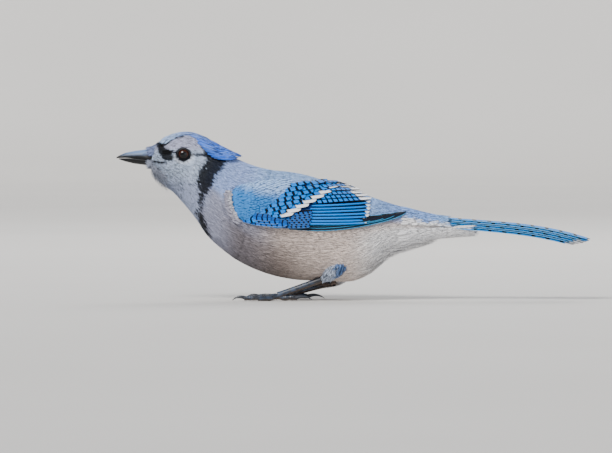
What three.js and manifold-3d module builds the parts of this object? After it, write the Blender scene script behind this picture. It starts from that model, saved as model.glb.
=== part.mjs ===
// A blue jay at life size, standing low on both feet with its body held level and its neck stretched
// forward. Millimetres, +Z up, the bill toward -X, the bird's left side toward -Y, the floor at z = 0.
import * as THREE from 'three';
import { mergeVertices } from 'three/addons/utils/BufferGeometryUtils.js';
import Module from 'manifold-3d';

const wasm = await Module();
wasm.setup();

const GAP = 0.3; // between two pieces that touch
const VANE = 0.55; // thickness of a feather
const STAGGER = 0.8; // how far off the next one every second feather of a row lies
const ROOTED = 0.7; // how far off the body a wing feather's root lies, inside the wing's base
const ROUND = 2.15; // exponent of the body's cross-sections, 2 being an ellipse
const SIDES = 26; // faces around the body

// The body from the feathered edge of the bill to the end of the tail coverts. Each station is one
// slanted section: its top point, its bottom point and its half width there.
const STATIONS = [
  { top: [-118.2, 91.0], bottom: [-119.8, 79.4], half: 4.9 },
  { top: [-115.8, 93.0], bottom: [-117.6, 76.0], half: 7.4 },
  { top: [-111.0, 95.8], bottom: [-114.0, 71.2], half: 10.8 },
  { top: [-104.8, 98.0], bottom: [-110.4, 67.6], half: 13.4 },
  { top: [-97.6, 98.6], bottom: [-105.8, 64.4], half: 14.6 },
  { top: [-89.8, 95.6], bottom: [-100.8, 58.6], half: 14.6 },
  { top: [-82.4, 90.6], bottom: [-95.6, 52.0], half: 14.8 },
  { top: [-75.4, 86.2], bottom: [-91.2, 46.0], half: 16.0 },
  { top: [-67.6, 82.6], bottom: [-86.2, 38.6], half: 18.4 },
  { top: [-59.0, 79.2], bottom: [-79.0, 31.8], half: 21.6 },
  { top: [-49.5, 76.8], bottom: [-67.0, 23.0], half: 24.2 },
  { top: [-38.0, 75.6], bottom: [-51.5, 16.2], half: 26.0 },
  { top: [-26.0, 73.2], bottom: [-35.0, 12.6], half: 26.8 },
  { top: [-12.5, 68.6], bottom: [-17.0, 11.8], half: 26.0 },
  { top: [0.0, 64.4], bottom: [-1.5, 11.6], half: 24.0 },
  { top: [10.5, 60.8], bottom: [9.0, 16.4], half: 21.2 },
  { top: [20.5, 57.4], bottom: [19.6, 26.2], half: 17.4 },
  { top: [31.5, 54.2], bottom: [31.0, 30.8], half: 13.8 },
  { top: [44.0, 51.0], bottom: [44.0, 35.0], half: 10.8 },
  { top: [57.0, 48.4], bottom: [58.0, 39.6], half: 8.4 },
];
const NECK_FRONT = 5.6; // stations, counted along the list above
const NECK_BACK = 8.2;
const TAIL_START = 17.3;
const TAIL_STOP = 18.6; // where the tail's solid root ends
const PARTING = 0.036; // of a station, about one gap

const BILL = { tip: [-140.4, 84.5], base: [-118.4, 90.3], mouth: 82.3, under: 79.8, half: 4.8 };
const GAPE = { corner: [-110.2, 81.4], height: 0.5, depth: 1.1 };
const NOSTRIL = { x: -122.6, z: 86.6, length: 3.0, height: 1.0, depth: 1.2 };
const EYE = { x: -100.3, z: 86.3, radius: 4.1, centre: 10.1 };
const LID = { radius: 3.75, tube: 0.62, squeeze: 0.9, out: 12.95, clear: 5.4 };

const CREST = { tiers: 4, width: 6.2, spread: 58 };

const TAIL = {
  root: [39, 50.6], tip: [140.3, 36.6], arch: 3, pairs: 6, pitch: 0.95, width: 15, thick: 0.58, roof: 0.012,
};

const ANKLE = { left: [-12.6, -11.5, 13.8], right: [-14.6, 11.5, 8.6] };
const CUFF = { knee: [3.5, 14.0, 27], bend: { left: 19, right: 12 }, top: 7.6, low: 2.9 };
const FOOT = { left: [-45.2, -13.0, 3.1], right: [-37.8, 13.0, 3.1] };
const SHANK = { top: 2.1, middle: 1.8, bottom: 1.95, scutes: 8 };
const HUB = 2.7;
const TOES = [
  { name: 'middle', turn: -2, length: 19, radius: 1.7, claw: 7.5 },
  { name: 'inner', turn: 27, length: 12.5, radius: 1.55, claw: 6.5 },
  { name: 'outer', turn: -30, length: 13.5, radius: 1.55, claw: 6.5 },
  { name: 'hind', turn: 176, length: 11.5, radius: 1.8, claw: 9.5 },
];

const mix = THREE.MathUtils.lerp;
const radians = THREE.MathUtils.degToRad;
const wave = (x) => Math.sin(Math.PI * x);

// One seeded random number, so that no two feathers are quite alike.
let seed = 11;
function vary(amount) {
  seed = (seed * 16807) % 2147483647;
  return amount * ((2 * seed) / 2147483647 - 1);
}

function finish(color, roughness) {
  return new THREE.MeshStandardMaterial({ color, roughness, metalness: 0 });
}

function toSolid(geometry) {
  const bare = geometry.clone();
  bare.deleteAttribute('normal');
  bare.deleteAttribute('uv');
  const merged = mergeVertices(bare, 1e-5);
  return new wasm.Manifold(
    new wasm.Mesh({
      numProp: 3,
      vertProperties: new Float32Array(merged.attributes.position.array),
      triVerts: new Uint32Array(merged.index.array),
    }),
  );
}

const join = (solids) => solids.reduce((all, next) => all.add(next));

// The largest closed body of a solid, as a named mesh.
function part(name, solid, material) {
  const bodies = solid.decompose().sort((a, b) => b.volume() - a.volume());
  const { vertProperties, triVerts } = bodies[0].getMesh();
  const geometry = new THREE.BufferGeometry();
  geometry.setAttribute('position', new THREE.BufferAttribute(vertProperties, 3));
  geometry.setIndex(new THREE.BufferAttribute(triVerts, 1));
  geometry.computeVertexNormals();
  const mesh = new THREE.Mesh(geometry, material);
  mesh.name = name;
  return mesh;
}

// A closed skin over rings of points, each end shut by a fan from the ring's middle.
function loft(rings) {
  const count = rings[0].length;
  const points = rings.flat();
  const faces = [];
  rings.slice(1).forEach((ring, row) => {
    for (let i = 0; i < count; i += 1) {
      const a = row * count + i;
      const b = row * count + ((i + 1) % count);
      faces.push(a, b, b + count, a, b + count, a + count);
    }
  });
  [0, rings.length - 1].forEach((row) => {
    const middle = rings[row].reduce((sum, p) => sum.clone().add(p)).divideScalar(count);
    points.push(middle);
    for (let i = 0; i < count; i += 1) {
      const a = row * count + i;
      const b = row * count + ((i + 1) % count);
      faces.push(points.length - 1, ...(row === 0 ? [b, a] : [a, b]));
    }
  });
  const geometry = new THREE.BufferGeometry().setFromPoints(points);
  geometry.setIndex(faces);
  return outward(geometry);
}

// Turns every face over when a closed geometry is inside out.
function outward(geometry) {
  const place = geometry.attributes.position;
  const index = geometry.index.array;
  const [a, b, c] = [0, 1, 2].map(() => new THREE.Vector3());
  let volume = 0;
  for (let i = 0; i < index.length; i += 3) {
    a.fromBufferAttribute(place, index[i]);
    b.fromBufferAttribute(place, index[i + 1]);
    c.fromBufferAttribute(place, index[i + 2]);
    volume += a.dot(b.cross(c));
  }
  if (volume < 0) {
    for (let i = 0; i < index.length; i += 3) {
      [index[i], index[i + 1]] = [index[i + 1], index[i]];
    }
  }
  return geometry;
}

function mirrored(geometry) {
  return outward(geometry.clone().scale(1, -1, 1));
}

const topLine = new THREE.CatmullRomCurve3(
  STATIONS.map(({ top, half }) => new THREE.Vector3(top[0], half, top[1])),
);
const bottomLine = new THREE.CatmullRomCurve3(
  STATIONS.map(({ bottom }) => new THREE.Vector3(bottom[0], 0, bottom[1])),
);

function section(station) {
  const along = station / (STATIONS.length - 1);
  const top = topLine.getPoint(along);
  const bottom = bottomLine.getPoint(along);
  const half = top.y;
  top.y = 0;
  return { top, bottom, half };
}

// A point of the body's surface. The angle is 90 degrees on the back, 0 at the bird's left side and
// -90 on the belly, and 180 is its right side.
function surface(station, angle) {
  const { top, bottom, half } = section(station);
  const [c, s] = [Math.cos(radians(angle)), Math.sin(radians(angle))];
  const power = 2 / ROUND;
  const point = top.clone().add(bottom).multiplyScalar(0.5);
  point.addScaledVector(top.sub(bottom), 0.5 * Math.sign(s) * Math.abs(s) ** power);
  point.y = -half * Math.sign(c) * Math.abs(c) ** power;
  return point;
}

function outwardNormal(station, angle) {
  const step = 0.02;
  const along = surface(station + step, angle).sub(surface(station - step, angle));
  const around = surface(station, angle + 1).sub(surface(station, angle - 1));
  return along.cross(around).normalize();
}

function skin(station, angle, lift = 0) {
  const held = THREE.MathUtils.clamp(station, 0.05, STATIONS.length - 1.05);
  return surface(station, angle).addScaledVector(outwardNormal(held, angle), lift);
}

// The body's surface under a point of its left side's outline drawing.
function fromSide(x, z, lift) {
  let [low, high] = [0.1, STATIONS.length - 1.1];
  for (let step = 0; step < 24; step += 1) {
    const middle = (low + high) / 2;
    const { top, bottom } = section(middle);
    const behind = (top.x - bottom.x) * (z - bottom.z) - (top.z - bottom.z) * (x - bottom.x);
    if (behind > 0) high = middle;
    else low = middle;
  }
  const { top, bottom } = section(low);
  const height = THREE.MathUtils.clamp((2 * (z - bottom.z)) / (top.z - bottom.z) - 1, -0.99, 0.99);
  const sine = Math.sign(height) * Math.abs(height) ** (ROUND / 2);
  const angle = THREE.MathUtils.radToDeg(Math.asin(sine));
  return { point: skin(low, angle, lift), normal: outwardNormal(low, angle) };
}

function bodyLength(from, to, rings, sides, lift = 0) {
  return loft(
    Array.from({ length: rings + 1 }, (_, row) =>
      Array.from({ length: sides }, (_, i) => skin(mix(from, to, row / rings), (360 * i) / sides, lift)),
    ),
  );
}

// A feather: a thin blade along a spine of points, each with the direction across the blade and the
// direction out of it. A large one has its two webs meeting at a slightly raised shaft.
function vane({ spine, width, tip = 0.3, root = 0.55, thick = VANE, ridge = 0 }) {
  const last = spine.length - 1;
  const webs = ridge > 0 ? [-1, 0, 1] : [-1, 1];
  const wide = webs.length;
  const points = [];
  const faces = [];
  spine.forEach(({ point, across, out }, row) => {
    const t = row / last;
    const open = t < 0.35 ? mix(root, 1, t / 0.35) : 1;
    const shut = row === last ? tip : 1;
    const side = across.clone().multiplyScalar((width / 2) * open * shut);
    const up = out.clone().multiplyScalar(thick / 2);
    webs.forEach((web) => {
      const middle = point.clone().addScaledVector(side, web);
      if (web === 0) middle.addScaledVector(out, ridge * shut);
      points.push(middle.clone().add(up), middle.clone().sub(up));
    });
  });
  const at = (row, web, under) => (row * wide + web) * 2 + under;
  const quad = (a, b, c, d) => faces.push(a, b, c, a, c, d);
  for (let row = 0; row < last; row += 1) {
    for (let web = 0; web < wide - 1; web += 1) {
      quad(at(row, web, 0), at(row, web + 1, 0), at(row + 1, web + 1, 0), at(row + 1, web, 0));
      faces.push(at(row, web, 1), at(row + 1, web + 1, 1), at(row, web + 1, 1));
      faces.push(at(row, web, 1), at(row + 1, web, 1), at(row + 1, web + 1, 1));
    }
    quad(at(row, 0, 1), at(row, 0, 0), at(row + 1, 0, 0), at(row + 1, 0, 1));
    quad(at(row, wide - 1, 0), at(row, wide - 1, 1), at(row + 1, wide - 1, 1), at(row + 1, wide - 1, 0));
  }
  for (let web = 0; web < wide - 1; web += 1) {
    quad(at(0, web, 1), at(0, web + 1, 1), at(0, web + 1, 0), at(0, web, 0));
    quad(at(last, web, 0), at(last, web + 1, 0), at(last, web + 1, 1), at(last, web, 1));
  }
  const geometry = new THREE.BufferGeometry().setFromPoints(points);
  geometry.setIndex(faces);
  return outward(geometry);
}

// The spine of a feather over the body's left side, between two points of its outline drawing. The
// bow is how far its middle hangs below the straight line, and the tilt turns its upper web inward.
function sideSpine(from, to, { lift, bow = 0, tilt = 0, rows = 4 }) {
  const spots = Array.from({ length: rows + 1 }, (_, row) => {
    const t = row / rows;
    const z = mix(from[1], to[1], t) - bow * wave(t);
    return fromSide(mix(from[0], to[0], t), z, row === 0 ? ROOTED : mix(lift[0], lift[1], t));
  });
  return spots.map(({ point, normal }, row) => {
    const before = spots[Math.max(row - 1, 0)].point;
    const after = spots[Math.min(row + 1, rows)].point;
    const along = after.clone().sub(before).normalize();
    const across = normal.clone().cross(along).normalize();
    const turn = new THREE.Quaternion().setFromAxisAngle(along, radians(tilt));
    across.applyQuaternion(turn);
    const out = along.clone().cross(across).normalize();
    return { point, across, out: out.dot(normal) < 0 ? out.negate() : out };
  });
}

// The bill's two halves, each a row of sections from the base, which leans as the head's front does,
// to the tip.
function billHalf(sections, flatUnder) {
  const sides = 10;
  const { top: high, bottom: low } = STATIONS[0];
  const lean = (high[0] - low[0]) / (high[1] - low[1]);
  return loft(
    sections.map(([x, top, bottom, half], row) =>
      Array.from({ length: sides }, (_, i) => {
        const turn = Math.PI * (i / (sides - 1));
        const rise = Math.sin(turn) ** 0.8;
        const z = flatUnder ? mix(bottom, top, rise) : mix(top, bottom, rise);
        const upright = row / (sections.length - 1);
        return new THREE.Vector3(x + mix(lean * (z - high[1]), 0, upright), half * Math.cos(turn), z);
      }),
    ),
  );
}

const horn = finish('#2b2e35', 0.35);
const blueHead = finish('#6f8fd0', 0.7);
const greyBlue = finish('#a9b3cc', 0.75);
const azure = finish('#2f86d8', 0.6);
const scale = finish('#33363c', 0.5);
const iris = finish('#1a100c', 0.08);

const group = new THREE.Group();
const wholeBody = toSolid(bodyLength(0, STATIONS.length - 1, 38, SIDES, GAP));

function upperBill() {
  const upper = toSolid(
    billHalf(
      [
        [BILL.base[0] - GAP, BILL.base[1], BILL.mouth + GAP / 2, BILL.half],
        [-123.4, 89.2, 83.4 + GAP / 2, 4.0],
        [-129.1, 88.5, 84.1 + GAP / 2, 3.1],
        [-134.6, 87.4, 84.4 + GAP / 2, 2.1],
        [-138.2, 85.9, 84.3 + GAP / 2, 1.1],
        [BILL.tip[0], BILL.tip[1] + 0.1, BILL.tip[1] - 0.45, 0.3],
      ],
      true,
    ),
  );
  const cuts = [-1, 1].map((side) => {
    const slit = new THREE.SphereGeometry(0.5, 8, 6);
    slit.scale(NOSTRIL.length, NOSTRIL.depth * 2, NOSTRIL.height);
    return toSolid(slit.translate(NOSTRIL.x, side * 4.0, NOSTRIL.z));
  });
  return part('bill_upper', cuts.reduce((bill, cut) => bill.subtract(cut), upper), horn);
}

function lowerBill() {
  const lower = billHalf(
    [
      [BILL.base[0] - GAP, BILL.mouth - GAP / 2, BILL.under, BILL.half - 0.6],
      [-124.0, 83.4 - GAP / 2, 80.2, 3.5],
      [-129.4, 84.0 - GAP / 2, 80.9, 2.7],
      [-134.6, 84.2 - GAP / 2, 82.1, 1.7],
      [-138.6, 84.1 - GAP / 2, 83.4, 0.5],
    ],
    false,
  );
  return part('bill_lower', toSolid(lower), horn);
}

// Crest feathers lie back along the crown in tiers, the last and longest meeting in a point behind.
function crestVanes() {
  const vanes = [];
  for (let tier = 0; tier < CREST.tiers; tier += 1) {
    const t = tier / (CREST.tiers - 1);
    const count = tier === 0 ? 3 : 5;
    for (let i = 0; i < count; i += 1) {
      const off = count === 1 ? 0 : (2 * i) / (count - 1) - 1;
      const start = mix(1.9, 5.2, t) + 0.25 * Math.abs(off);
      const end = mix(4.6, 8.3, t) - (0.9 + 0.5 * t) * Math.abs(off) + vary(0.08);
      const angle = 90 + off * CREST.spread * (1 - 0.18 * t);
      const inward = 90 + off * CREST.spread * (1 - 0.5 * t);
      const rows = 3;
      const raised = STAGGER * (i % 2);
      const spine = Array.from({ length: rows + 1 }, (_, row) => {
        const u = row / rows;
        const station = mix(start, end, u);
        const around = mix(angle, inward, u ** 1.5);
        const lift = row === 0 ? -0.8 : mix(0.2, 1.7 + 0.4 * t, u) + raised;
        const normal = outwardNormal(station, around);
        const point = skin(station, around, lift);
        const next = skin(station + 0.1, around, lift);
        const across = normal.clone().cross(next.sub(point)).normalize();
        return { point, across, out: normal };
      });
      vanes.push(vane({ spine, width: CREST.width * (1 - 0.12 * Math.abs(off)), tip: 0.22, root: 0.8 }));
    }
  }
  return vanes;
}

function head() {
  let crest = join(crestVanes().map(toSolid));
  [-1, 1].forEach((side) => {
    const bare = new THREE.SphereGeometry(LID.clear, 12, 9);
    crest = crest.subtract(toSolid(bare.translate(EYE.x, side * (LID.out + 2), EYE.z)));
  });
  let solid = toSolid(bodyLength(0, NECK_FRONT, 13, SIDES)).add(crest);
  solid = solid.subtract(toSolid(bodyLength(NECK_FRONT + PARTING / 9, NECK_BACK + 2, 9, SIDES, GAP)));
  [-1, 1].forEach((side) => {
    const lid = new THREE.TorusGeometry(LID.radius, LID.tube, 5, 14);
    lid.scale(1.04, LID.squeeze, 1).rotateX(Math.PI / 2);
    solid = solid.add(toSolid(lid.translate(EYE.x, side * LID.out, EYE.z)));
    const socket = new THREE.SphereGeometry(EYE.radius + GAP, 14, 10);
    solid = solid.subtract(toSolid(socket.translate(EYE.x, side * EYE.centre, EYE.z)));
    const mouth = new THREE.BoxGeometry(9.5, 2 * GAPE.depth, GAPE.height);
    mouth.rotateY(radians(6)).rotateZ(side * radians(38));
    solid = solid.subtract(toSolid(mouth.translate(GAPE.corner[0] - 3.6, side * 8.4, GAPE.corner[1] + 0.4)));
  });
  return part('head', solid, blueHead);
}

function eye(side, name) {
  const ball = new THREE.SphereGeometry(EYE.radius, 14, 10);
  return part(name, toSolid(ball.translate(EYE.x, side * EYE.centre, EYE.z)), iris);
}

// The thick base of the folded wing, from its front edge to the middle of the flight feathers.
const WING_BASE = [
  { low: [-72.0, 54.5], high: [-70.5, 60.5], lift: 0.8 },
  { low: [-67.0, 49.9], high: [-64.0, 66.0], lift: 1.8 },
  { low: [-58.0, 45.6], high: [-54.0, 69.5], lift: 2.2 },
  { low: [-46.0, 43.2], high: [-42.0, 70.6], lift: 2.1 },
  { low: [-32.0, 42.6], high: [-28.0, 69.4], lift: 1.7 },
  { low: [-18.0, 43.0], high: [-14.0, 66.4], lift: 1.3 },
  { low: [-7.0, 44.0], high: [-4.0, 63.0], lift: 0.9 },
];

function wingBase() {
  const columns = 8;
  return loft(
    WING_BASE.map(({ low, high, lift }) => {
      const arc = (depth) =>
        Array.from({ length: columns + 1 }, (_, i) => {
          const t = i / columns;
          return fromSide(mix(low[0], high[0], t), mix(low[1], high[1], t), depth(t)).point;
        });
      const outer = arc((t) => 0.55 + (lift - 0.55) * wave(t) ** 0.5);
      return [...outer, ...arc(() => -0.9).reverse()];
    }),
  );
}

// The rows of the folded wing. Each row runs from its lowest feather to its highest: the ends of its
// shafts in the side view, how far they lie off the body, and how the row is stacked.
const WING_ROWS = [
  {
    count: 4, from: [[-38, 44.4], [-34, 47.6]], to: [[30.4, 51.6], [11, 47.4]],
    lift: [0.9, 1.2], step: 0.4, bow: [2.9, 0.4], width: 4.4, tilt: 14, rows: 4,
  },
  {
    count: 5, from: [[-32, 47.8], [-28, 57.2]], to: [[8.4, 47.4], [9.6, 57.4]],
    lift: [2.0, 2.2], step: 0, bow: [0.3, 0.2], width: 4.6, tilt: 21, rows: 3,
  },
  {
    count: 4, from: [[-28, 59.6], [-24, 66.8]], to: [[9.4, 59.8], [-1.6, 66.0]],
    lift: [2.5, 2.9], step: 0.15, bow: [-0.6, -0.6], width: 5.4, tilt: 17, rows: 3,
  },
  {
    count: 4, from: [[-43, 45.2], [-43, 50.6]], to: [[-25.2, 45.4], [-24.6, 52.0]],
    lift: [2.0, 2.8], step: 0, bow: [0, 0], width: 3.6, tilt: 22, rows: 2,
  },
  {
    count: 7, from: [[-51, 51.0], [-25, 66.4]], to: [[-35.0, 52.8], [-6.6, 67.4]],
    lift: [2.2, 3.2], step: 0, bow: [0, 0], width: 4.6, tilt: 20, rows: 2,
  },
  {
    count: 6, from: [[-57, 50.2], [-32, 66.6]], to: [[-44, 51.6], [-17.6, 68.0]],
    lift: [2.6, 3.7], step: 0, bow: [0, 0], width: 5.4, tilt: 15, rows: 2,
  },
  {
    count: 2, from: [[-65, 49.2], [-61, 51.6]], to: [[-38.2, 46.2], [-47.5, 49.2]],
    lift: [1.9, 3.6], step: 0.5, bow: [0.4, 0.2], width: 5.6, tilt: 12, rows: 3,
  },
];

function wingVanes() {
  return WING_ROWS.flatMap(({ count, from, to, lift, step, bow, width, tilt, rows }) =>
    Array.from({ length: count }, (_, i) => {
      const t = i / (count - 1);
      const at = ([low, high]) => [mix(low[0], high[0], t), mix(low[1], high[1], t)];
      const end = at(to);
      const tip = [end[0] + vary(0.35), end[1] + vary(0.12)];
      const lifts = lift.map((height) => height + i * step);
      const spine = sideSpine(at(from), tip, { lift: lifts, bow: mix(bow[0], bow[1], t), tilt, rows });
      return vane({ spine, width });
    }),
  );
}

function wing(name, side) {
  const pieces = [wingBase(), ...wingVanes()];
  const solids = pieces.map((piece) => toSolid(side < 0 ? piece : mirrored(piece)));
  return part(name, join(solids).subtract(wholeBody), azure);
}

// The tail: six pairs of feathers laid one under the next, the middle pair on top and longest.
function tailVanes() {
  const vanes = [];
  const slope = new THREE.Vector2(TAIL.tip[0] - TAIL.root[0], TAIL.tip[1] - TAIL.root[1]);
  for (let pair = 0; pair < TAIL.pairs; pair += 1) {
    const seam = 1.1 * (pair % 2 === 0 ? 1 : -1);
    const shorter = 0.75 * pair ** 1.55;
    [-1, 1].forEach((side) => {
      const rows = 4;
      const inner = side * seam + 0.2;
      const outer = 9.4 + 1.15 * pair;
      const spine = Array.from({ length: rows + 1 }, (_, row) => {
        const u = row / rows;
        const share = (u * (slope.x - shorter)) / slope.x;
        const fan = mix(0.42, 1, u ** 0.8);
        const half = ((outer - inner) / 2) * fan;
        const y = side * (inner + half);
        const arched = slope.y * share + TAIL.arch * wave(share ** 1.6);
        const z = TAIL.root[1] + arched - pair * TAIL.pitch - TAIL.roof * y * y;
        const across = new THREE.Vector3(0, 1, -2 * TAIL.roof * y).multiplyScalar((2 * half) / TAIL.width);
        return {
          point: new THREE.Vector3(TAIL.root[0] + slope.x * share, y, z),
          across,
          out: new THREE.Vector3(0, 0, 1),
        };
      });
      vanes.push(vane({ spine, width: TAIL.width, thick: TAIL.thick, tip: 0.45, root: 1 }));
    });
  }
  return vanes;
}

// Coverts over and under the base of the tail, laid along the body's end and past it.
function tailCoverts() {
  const rows = [
    { count: 5, from: [17.7, 142, 38], to: 60, z: 50.6, lift: 0.9, drop: 0.05, width: 6 },
    { count: 3, from: [18.3, 125, 55], to: 66, z: 49.9, lift: 0.8, drop: 0.05, width: 5.6 },
    { count: 5, from: [17.7, -142, -38], to: 71, z: 39.8, lift: 0.9, drop: -0.05, width: 6.4 },
    { count: 3, from: [18.3, -125, -55], to: 79, z: 40.4, lift: 0.8, drop: -0.05, width: 5.6 },
  ];
  return rows.flatMap(({ count, from, to, z, lift, drop, width }) =>
    Array.from({ length: count }, (_, i) => {
      const angle = mix(from[1], from[2], i / (count - 1));
      const start = skin(from[0] + vary(0.1), angle, -0.5);
      const end = new THREE.Vector3(to + vary(1.2), start.y * 0.86, z - drop * start.y * start.y * 0.35);
      end.z += STAGGER * (i % 2) * Math.sign(drop);
      const middle = skin(18.75, angle, lift + STAGGER * (i % 2));
      const curve = new THREE.QuadraticBezierCurve3(start, middle, end);
      const out = outwardNormal(18.4, angle);
      const spine = [0, 0.34, 0.68, 1].map((u) => {
        const along = curve.getTangent(u);
        const across = out.clone().cross(along).normalize();
        return { point: curve.getPoint(u), across, out: along.clone().cross(across).normalize() };
      });
      spine.forEach((spot) => {
        if (spot.out.dot(out) < 0) spot.out.negate();
      });
      return vane({ spine, width, tip: 0.3, root: 0.8 });
    }),
  );
}

function tail() {
  const base = toSolid(bodyLength(TAIL_START + PARTING, TAIL_STOP, 3, 20));
  const vanes = [...tailVanes(), ...tailCoverts()].map(toSolid);
  return part('tail', join([base, ...vanes]), azure);
}

// A round limb along a curve, with its own radius and flattened where it would pass the floor.
function limb(curve, radius, rings, sides = 8) {
  const rows = Array.from({ length: rings + 1 }, (_, row) => {
    const u = row / rings;
    const along = curve.getTangent(u);
    const across = new THREE.Vector3(-along.y, along.x, 0).normalize();
    const up = along.clone().cross(across).normalize();
    return Array.from({ length: sides }, (_, i) => {
      const turn = (2 * Math.PI * (i + 0.5)) / sides;
      const point = curve.getPoint(u).addScaledVector(across, radius(u) * Math.cos(turn));
      point.addScaledVector(up, radius(u) * Math.sin(turn));
      point.z = Math.max(point.z, 0);
      return point;
    });
  });
  return loft(rows);
}

function leg(side) {
  const hip = side === 'left' ? -1 : 1;
  const ankle = new THREE.Vector3(...ANKLE[side]);
  const foot = new THREE.Vector3(...FOOT[side]);
  const shaft = new THREE.LineCurve3(ankle, foot);
  const scutes = (u) => 0.07 * Math.abs(Math.sin(Math.PI * SHANK.scutes * u));
  const upper = (u) => mix(SHANK.top, SHANK.middle, Math.min(1, u * 2.5));
  const girth = (u) => mix(upper(u), SHANK.bottom, u ** 5) + scutes(u);
  const shank = toSolid(limb(shaft, girth, 2 * SHANK.scutes));
  const hub = new THREE.SphereGeometry(HUB, 10, 8).scale(1.1, 0.95, 0.9).translate(foot.x, foot.y, foot.z);
  const floor = new THREE.BoxGeometry(60, 60, 20).translate(foot.x, foot.y, -10);

  const knee = new THREE.Vector3(ankle.x + CUFF.knee[0], hip * CUFF.knee[1], CUFF.knee[2]);
  const cuffLine = new THREE.QuadraticBezierCurve3(
    knee,
    new THREE.Vector3(ankle.x + 3.5, hip * 18.0, CUFF.bend[side]),
    ankle.clone().add(new THREE.Vector3(-1.0, 0, -0.6)),
  );
  const cuffGirth = (u) => mix(CUFF.top, CUFF.low, u ** 2);
  const cuff = toSolid(limb(cuffLine, cuffGirth, 6, 12)).subtract(wholeBody);
  const grown = toSolid(limb(cuffLine, (u) => cuffGirth(u) + GAP, 6, 12));
  const longer = new THREE.SphereGeometry(CUFF.low + GAP, 12, 9);
  longer.translate(ankle.x - 1.0, ankle.y, ankle.z - 0.6);

  const lower = shank.add(toSolid(hub)).subtract(toSolid(floor));
  const tarsus = lower.subtract(grown).subtract(toSolid(longer)).subtract(wholeBody);
  group.add(part(`thigh_${side}`, cuff, greyBlue));
  group.add(part(`tarsus_${side}`, tarsus, scale));

  const hubClear = new THREE.SphereGeometry(HUB + GAP, 10, 8).scale(1.1, 0.95, 0.9);
  hubClear.translate(foot.x, foot.y, foot.z);
  let taken = toSolid(limb(shaft, (u) => girth(u) + GAP, 2 * SHANK.scutes)).add(toSolid(hubClear));
  TOES.forEach(({ name, turn, length, radius, claw }) => {
    const heading = radians(180 - hip * turn + hip * -6);
    const ahead = new THREE.Vector3(Math.cos(heading), Math.sin(heading), 0);
    const at = (distance, z) => new THREE.Vector3(foot.x, foot.y, z).addScaledVector(ahead, distance);
    const toeLine = (reach) =>
      new THREE.CatmullRomCurve3([
        at(1.2, radius + 0.7),
        at(reach * 0.36, radius - 0.25),
        at(reach * 0.68, radius + 0.1),
        at(reach, radius - 0.2),
      ]);
    const pads = (u) => 0.14 * radius * Math.abs(Math.sin(Math.PI * 3 * u + 0.5));
    const toeGirth = (u) => radius * mix(1, 0.8, u) - 0.14 * radius + pads(u);
    const toe = toSolid(limb(toeLine(length), toeGirth, 7, 7)).subtract(taken);
    const clear = toSolid(limb(toeLine(length + GAP), (u) => toeGirth(u) + GAP, 7, 7));
    taken = taken.add(clear);
    group.add(part(`toe_${name}_${side}`, toe, scale));

    const nail = new THREE.QuadraticBezierCurve3(
      at(length - 0.8, radius - 0.3),
      at(length + claw * 0.6, radius * 2.1),
      at(length + claw, 0.35),
    );
    const clawGirth = (u) => mix(radius * 0.62, 0.3, u ** 0.8);
    const nailSolid = toSolid(limb(nail, clawGirth, 5, 5)).subtract(clear);
    group.add(part(`claw_${name}_${side}`, nailSolid, horn));
  });
}

group.add(head(), upperBill(), lowerBill(), eye(-1, 'eye_left'), eye(1, 'eye_right'));
group.add(part('neck', toSolid(bodyLength(NECK_FRONT + PARTING, NECK_BACK, 5, SIDES)), greyBlue));
group.add(part('torso', toSolid(bodyLength(NECK_BACK + PARTING, TAIL_START, 18, SIDES)), greyBlue));
group.add(wing('wing_left', -1), wing('wing_right', 1), tail());
leg('left');
leg('right');

const box = new THREE.Box3().setFromObject(group);
group.position.set(-(box.min.x + box.max.x) / 2, -(box.min.y + box.max.y) / 2, -box.min.z);

export default group;
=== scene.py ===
import math

import bpy
import numpy as np
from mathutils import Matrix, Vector


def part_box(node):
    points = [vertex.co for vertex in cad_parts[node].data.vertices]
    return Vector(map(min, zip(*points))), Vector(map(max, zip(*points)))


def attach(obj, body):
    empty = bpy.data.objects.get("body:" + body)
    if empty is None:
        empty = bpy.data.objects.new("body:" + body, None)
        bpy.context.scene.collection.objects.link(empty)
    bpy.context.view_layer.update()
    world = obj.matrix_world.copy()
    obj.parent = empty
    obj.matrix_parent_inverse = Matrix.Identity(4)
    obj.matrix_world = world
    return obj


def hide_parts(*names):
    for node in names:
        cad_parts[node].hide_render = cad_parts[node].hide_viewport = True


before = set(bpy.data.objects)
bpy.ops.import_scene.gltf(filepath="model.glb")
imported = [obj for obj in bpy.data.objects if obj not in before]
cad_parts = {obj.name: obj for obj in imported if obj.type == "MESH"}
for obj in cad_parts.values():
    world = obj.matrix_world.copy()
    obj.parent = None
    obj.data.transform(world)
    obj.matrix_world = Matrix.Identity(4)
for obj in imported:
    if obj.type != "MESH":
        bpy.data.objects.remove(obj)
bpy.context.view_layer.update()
rng = np.random.default_rng(29)

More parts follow.
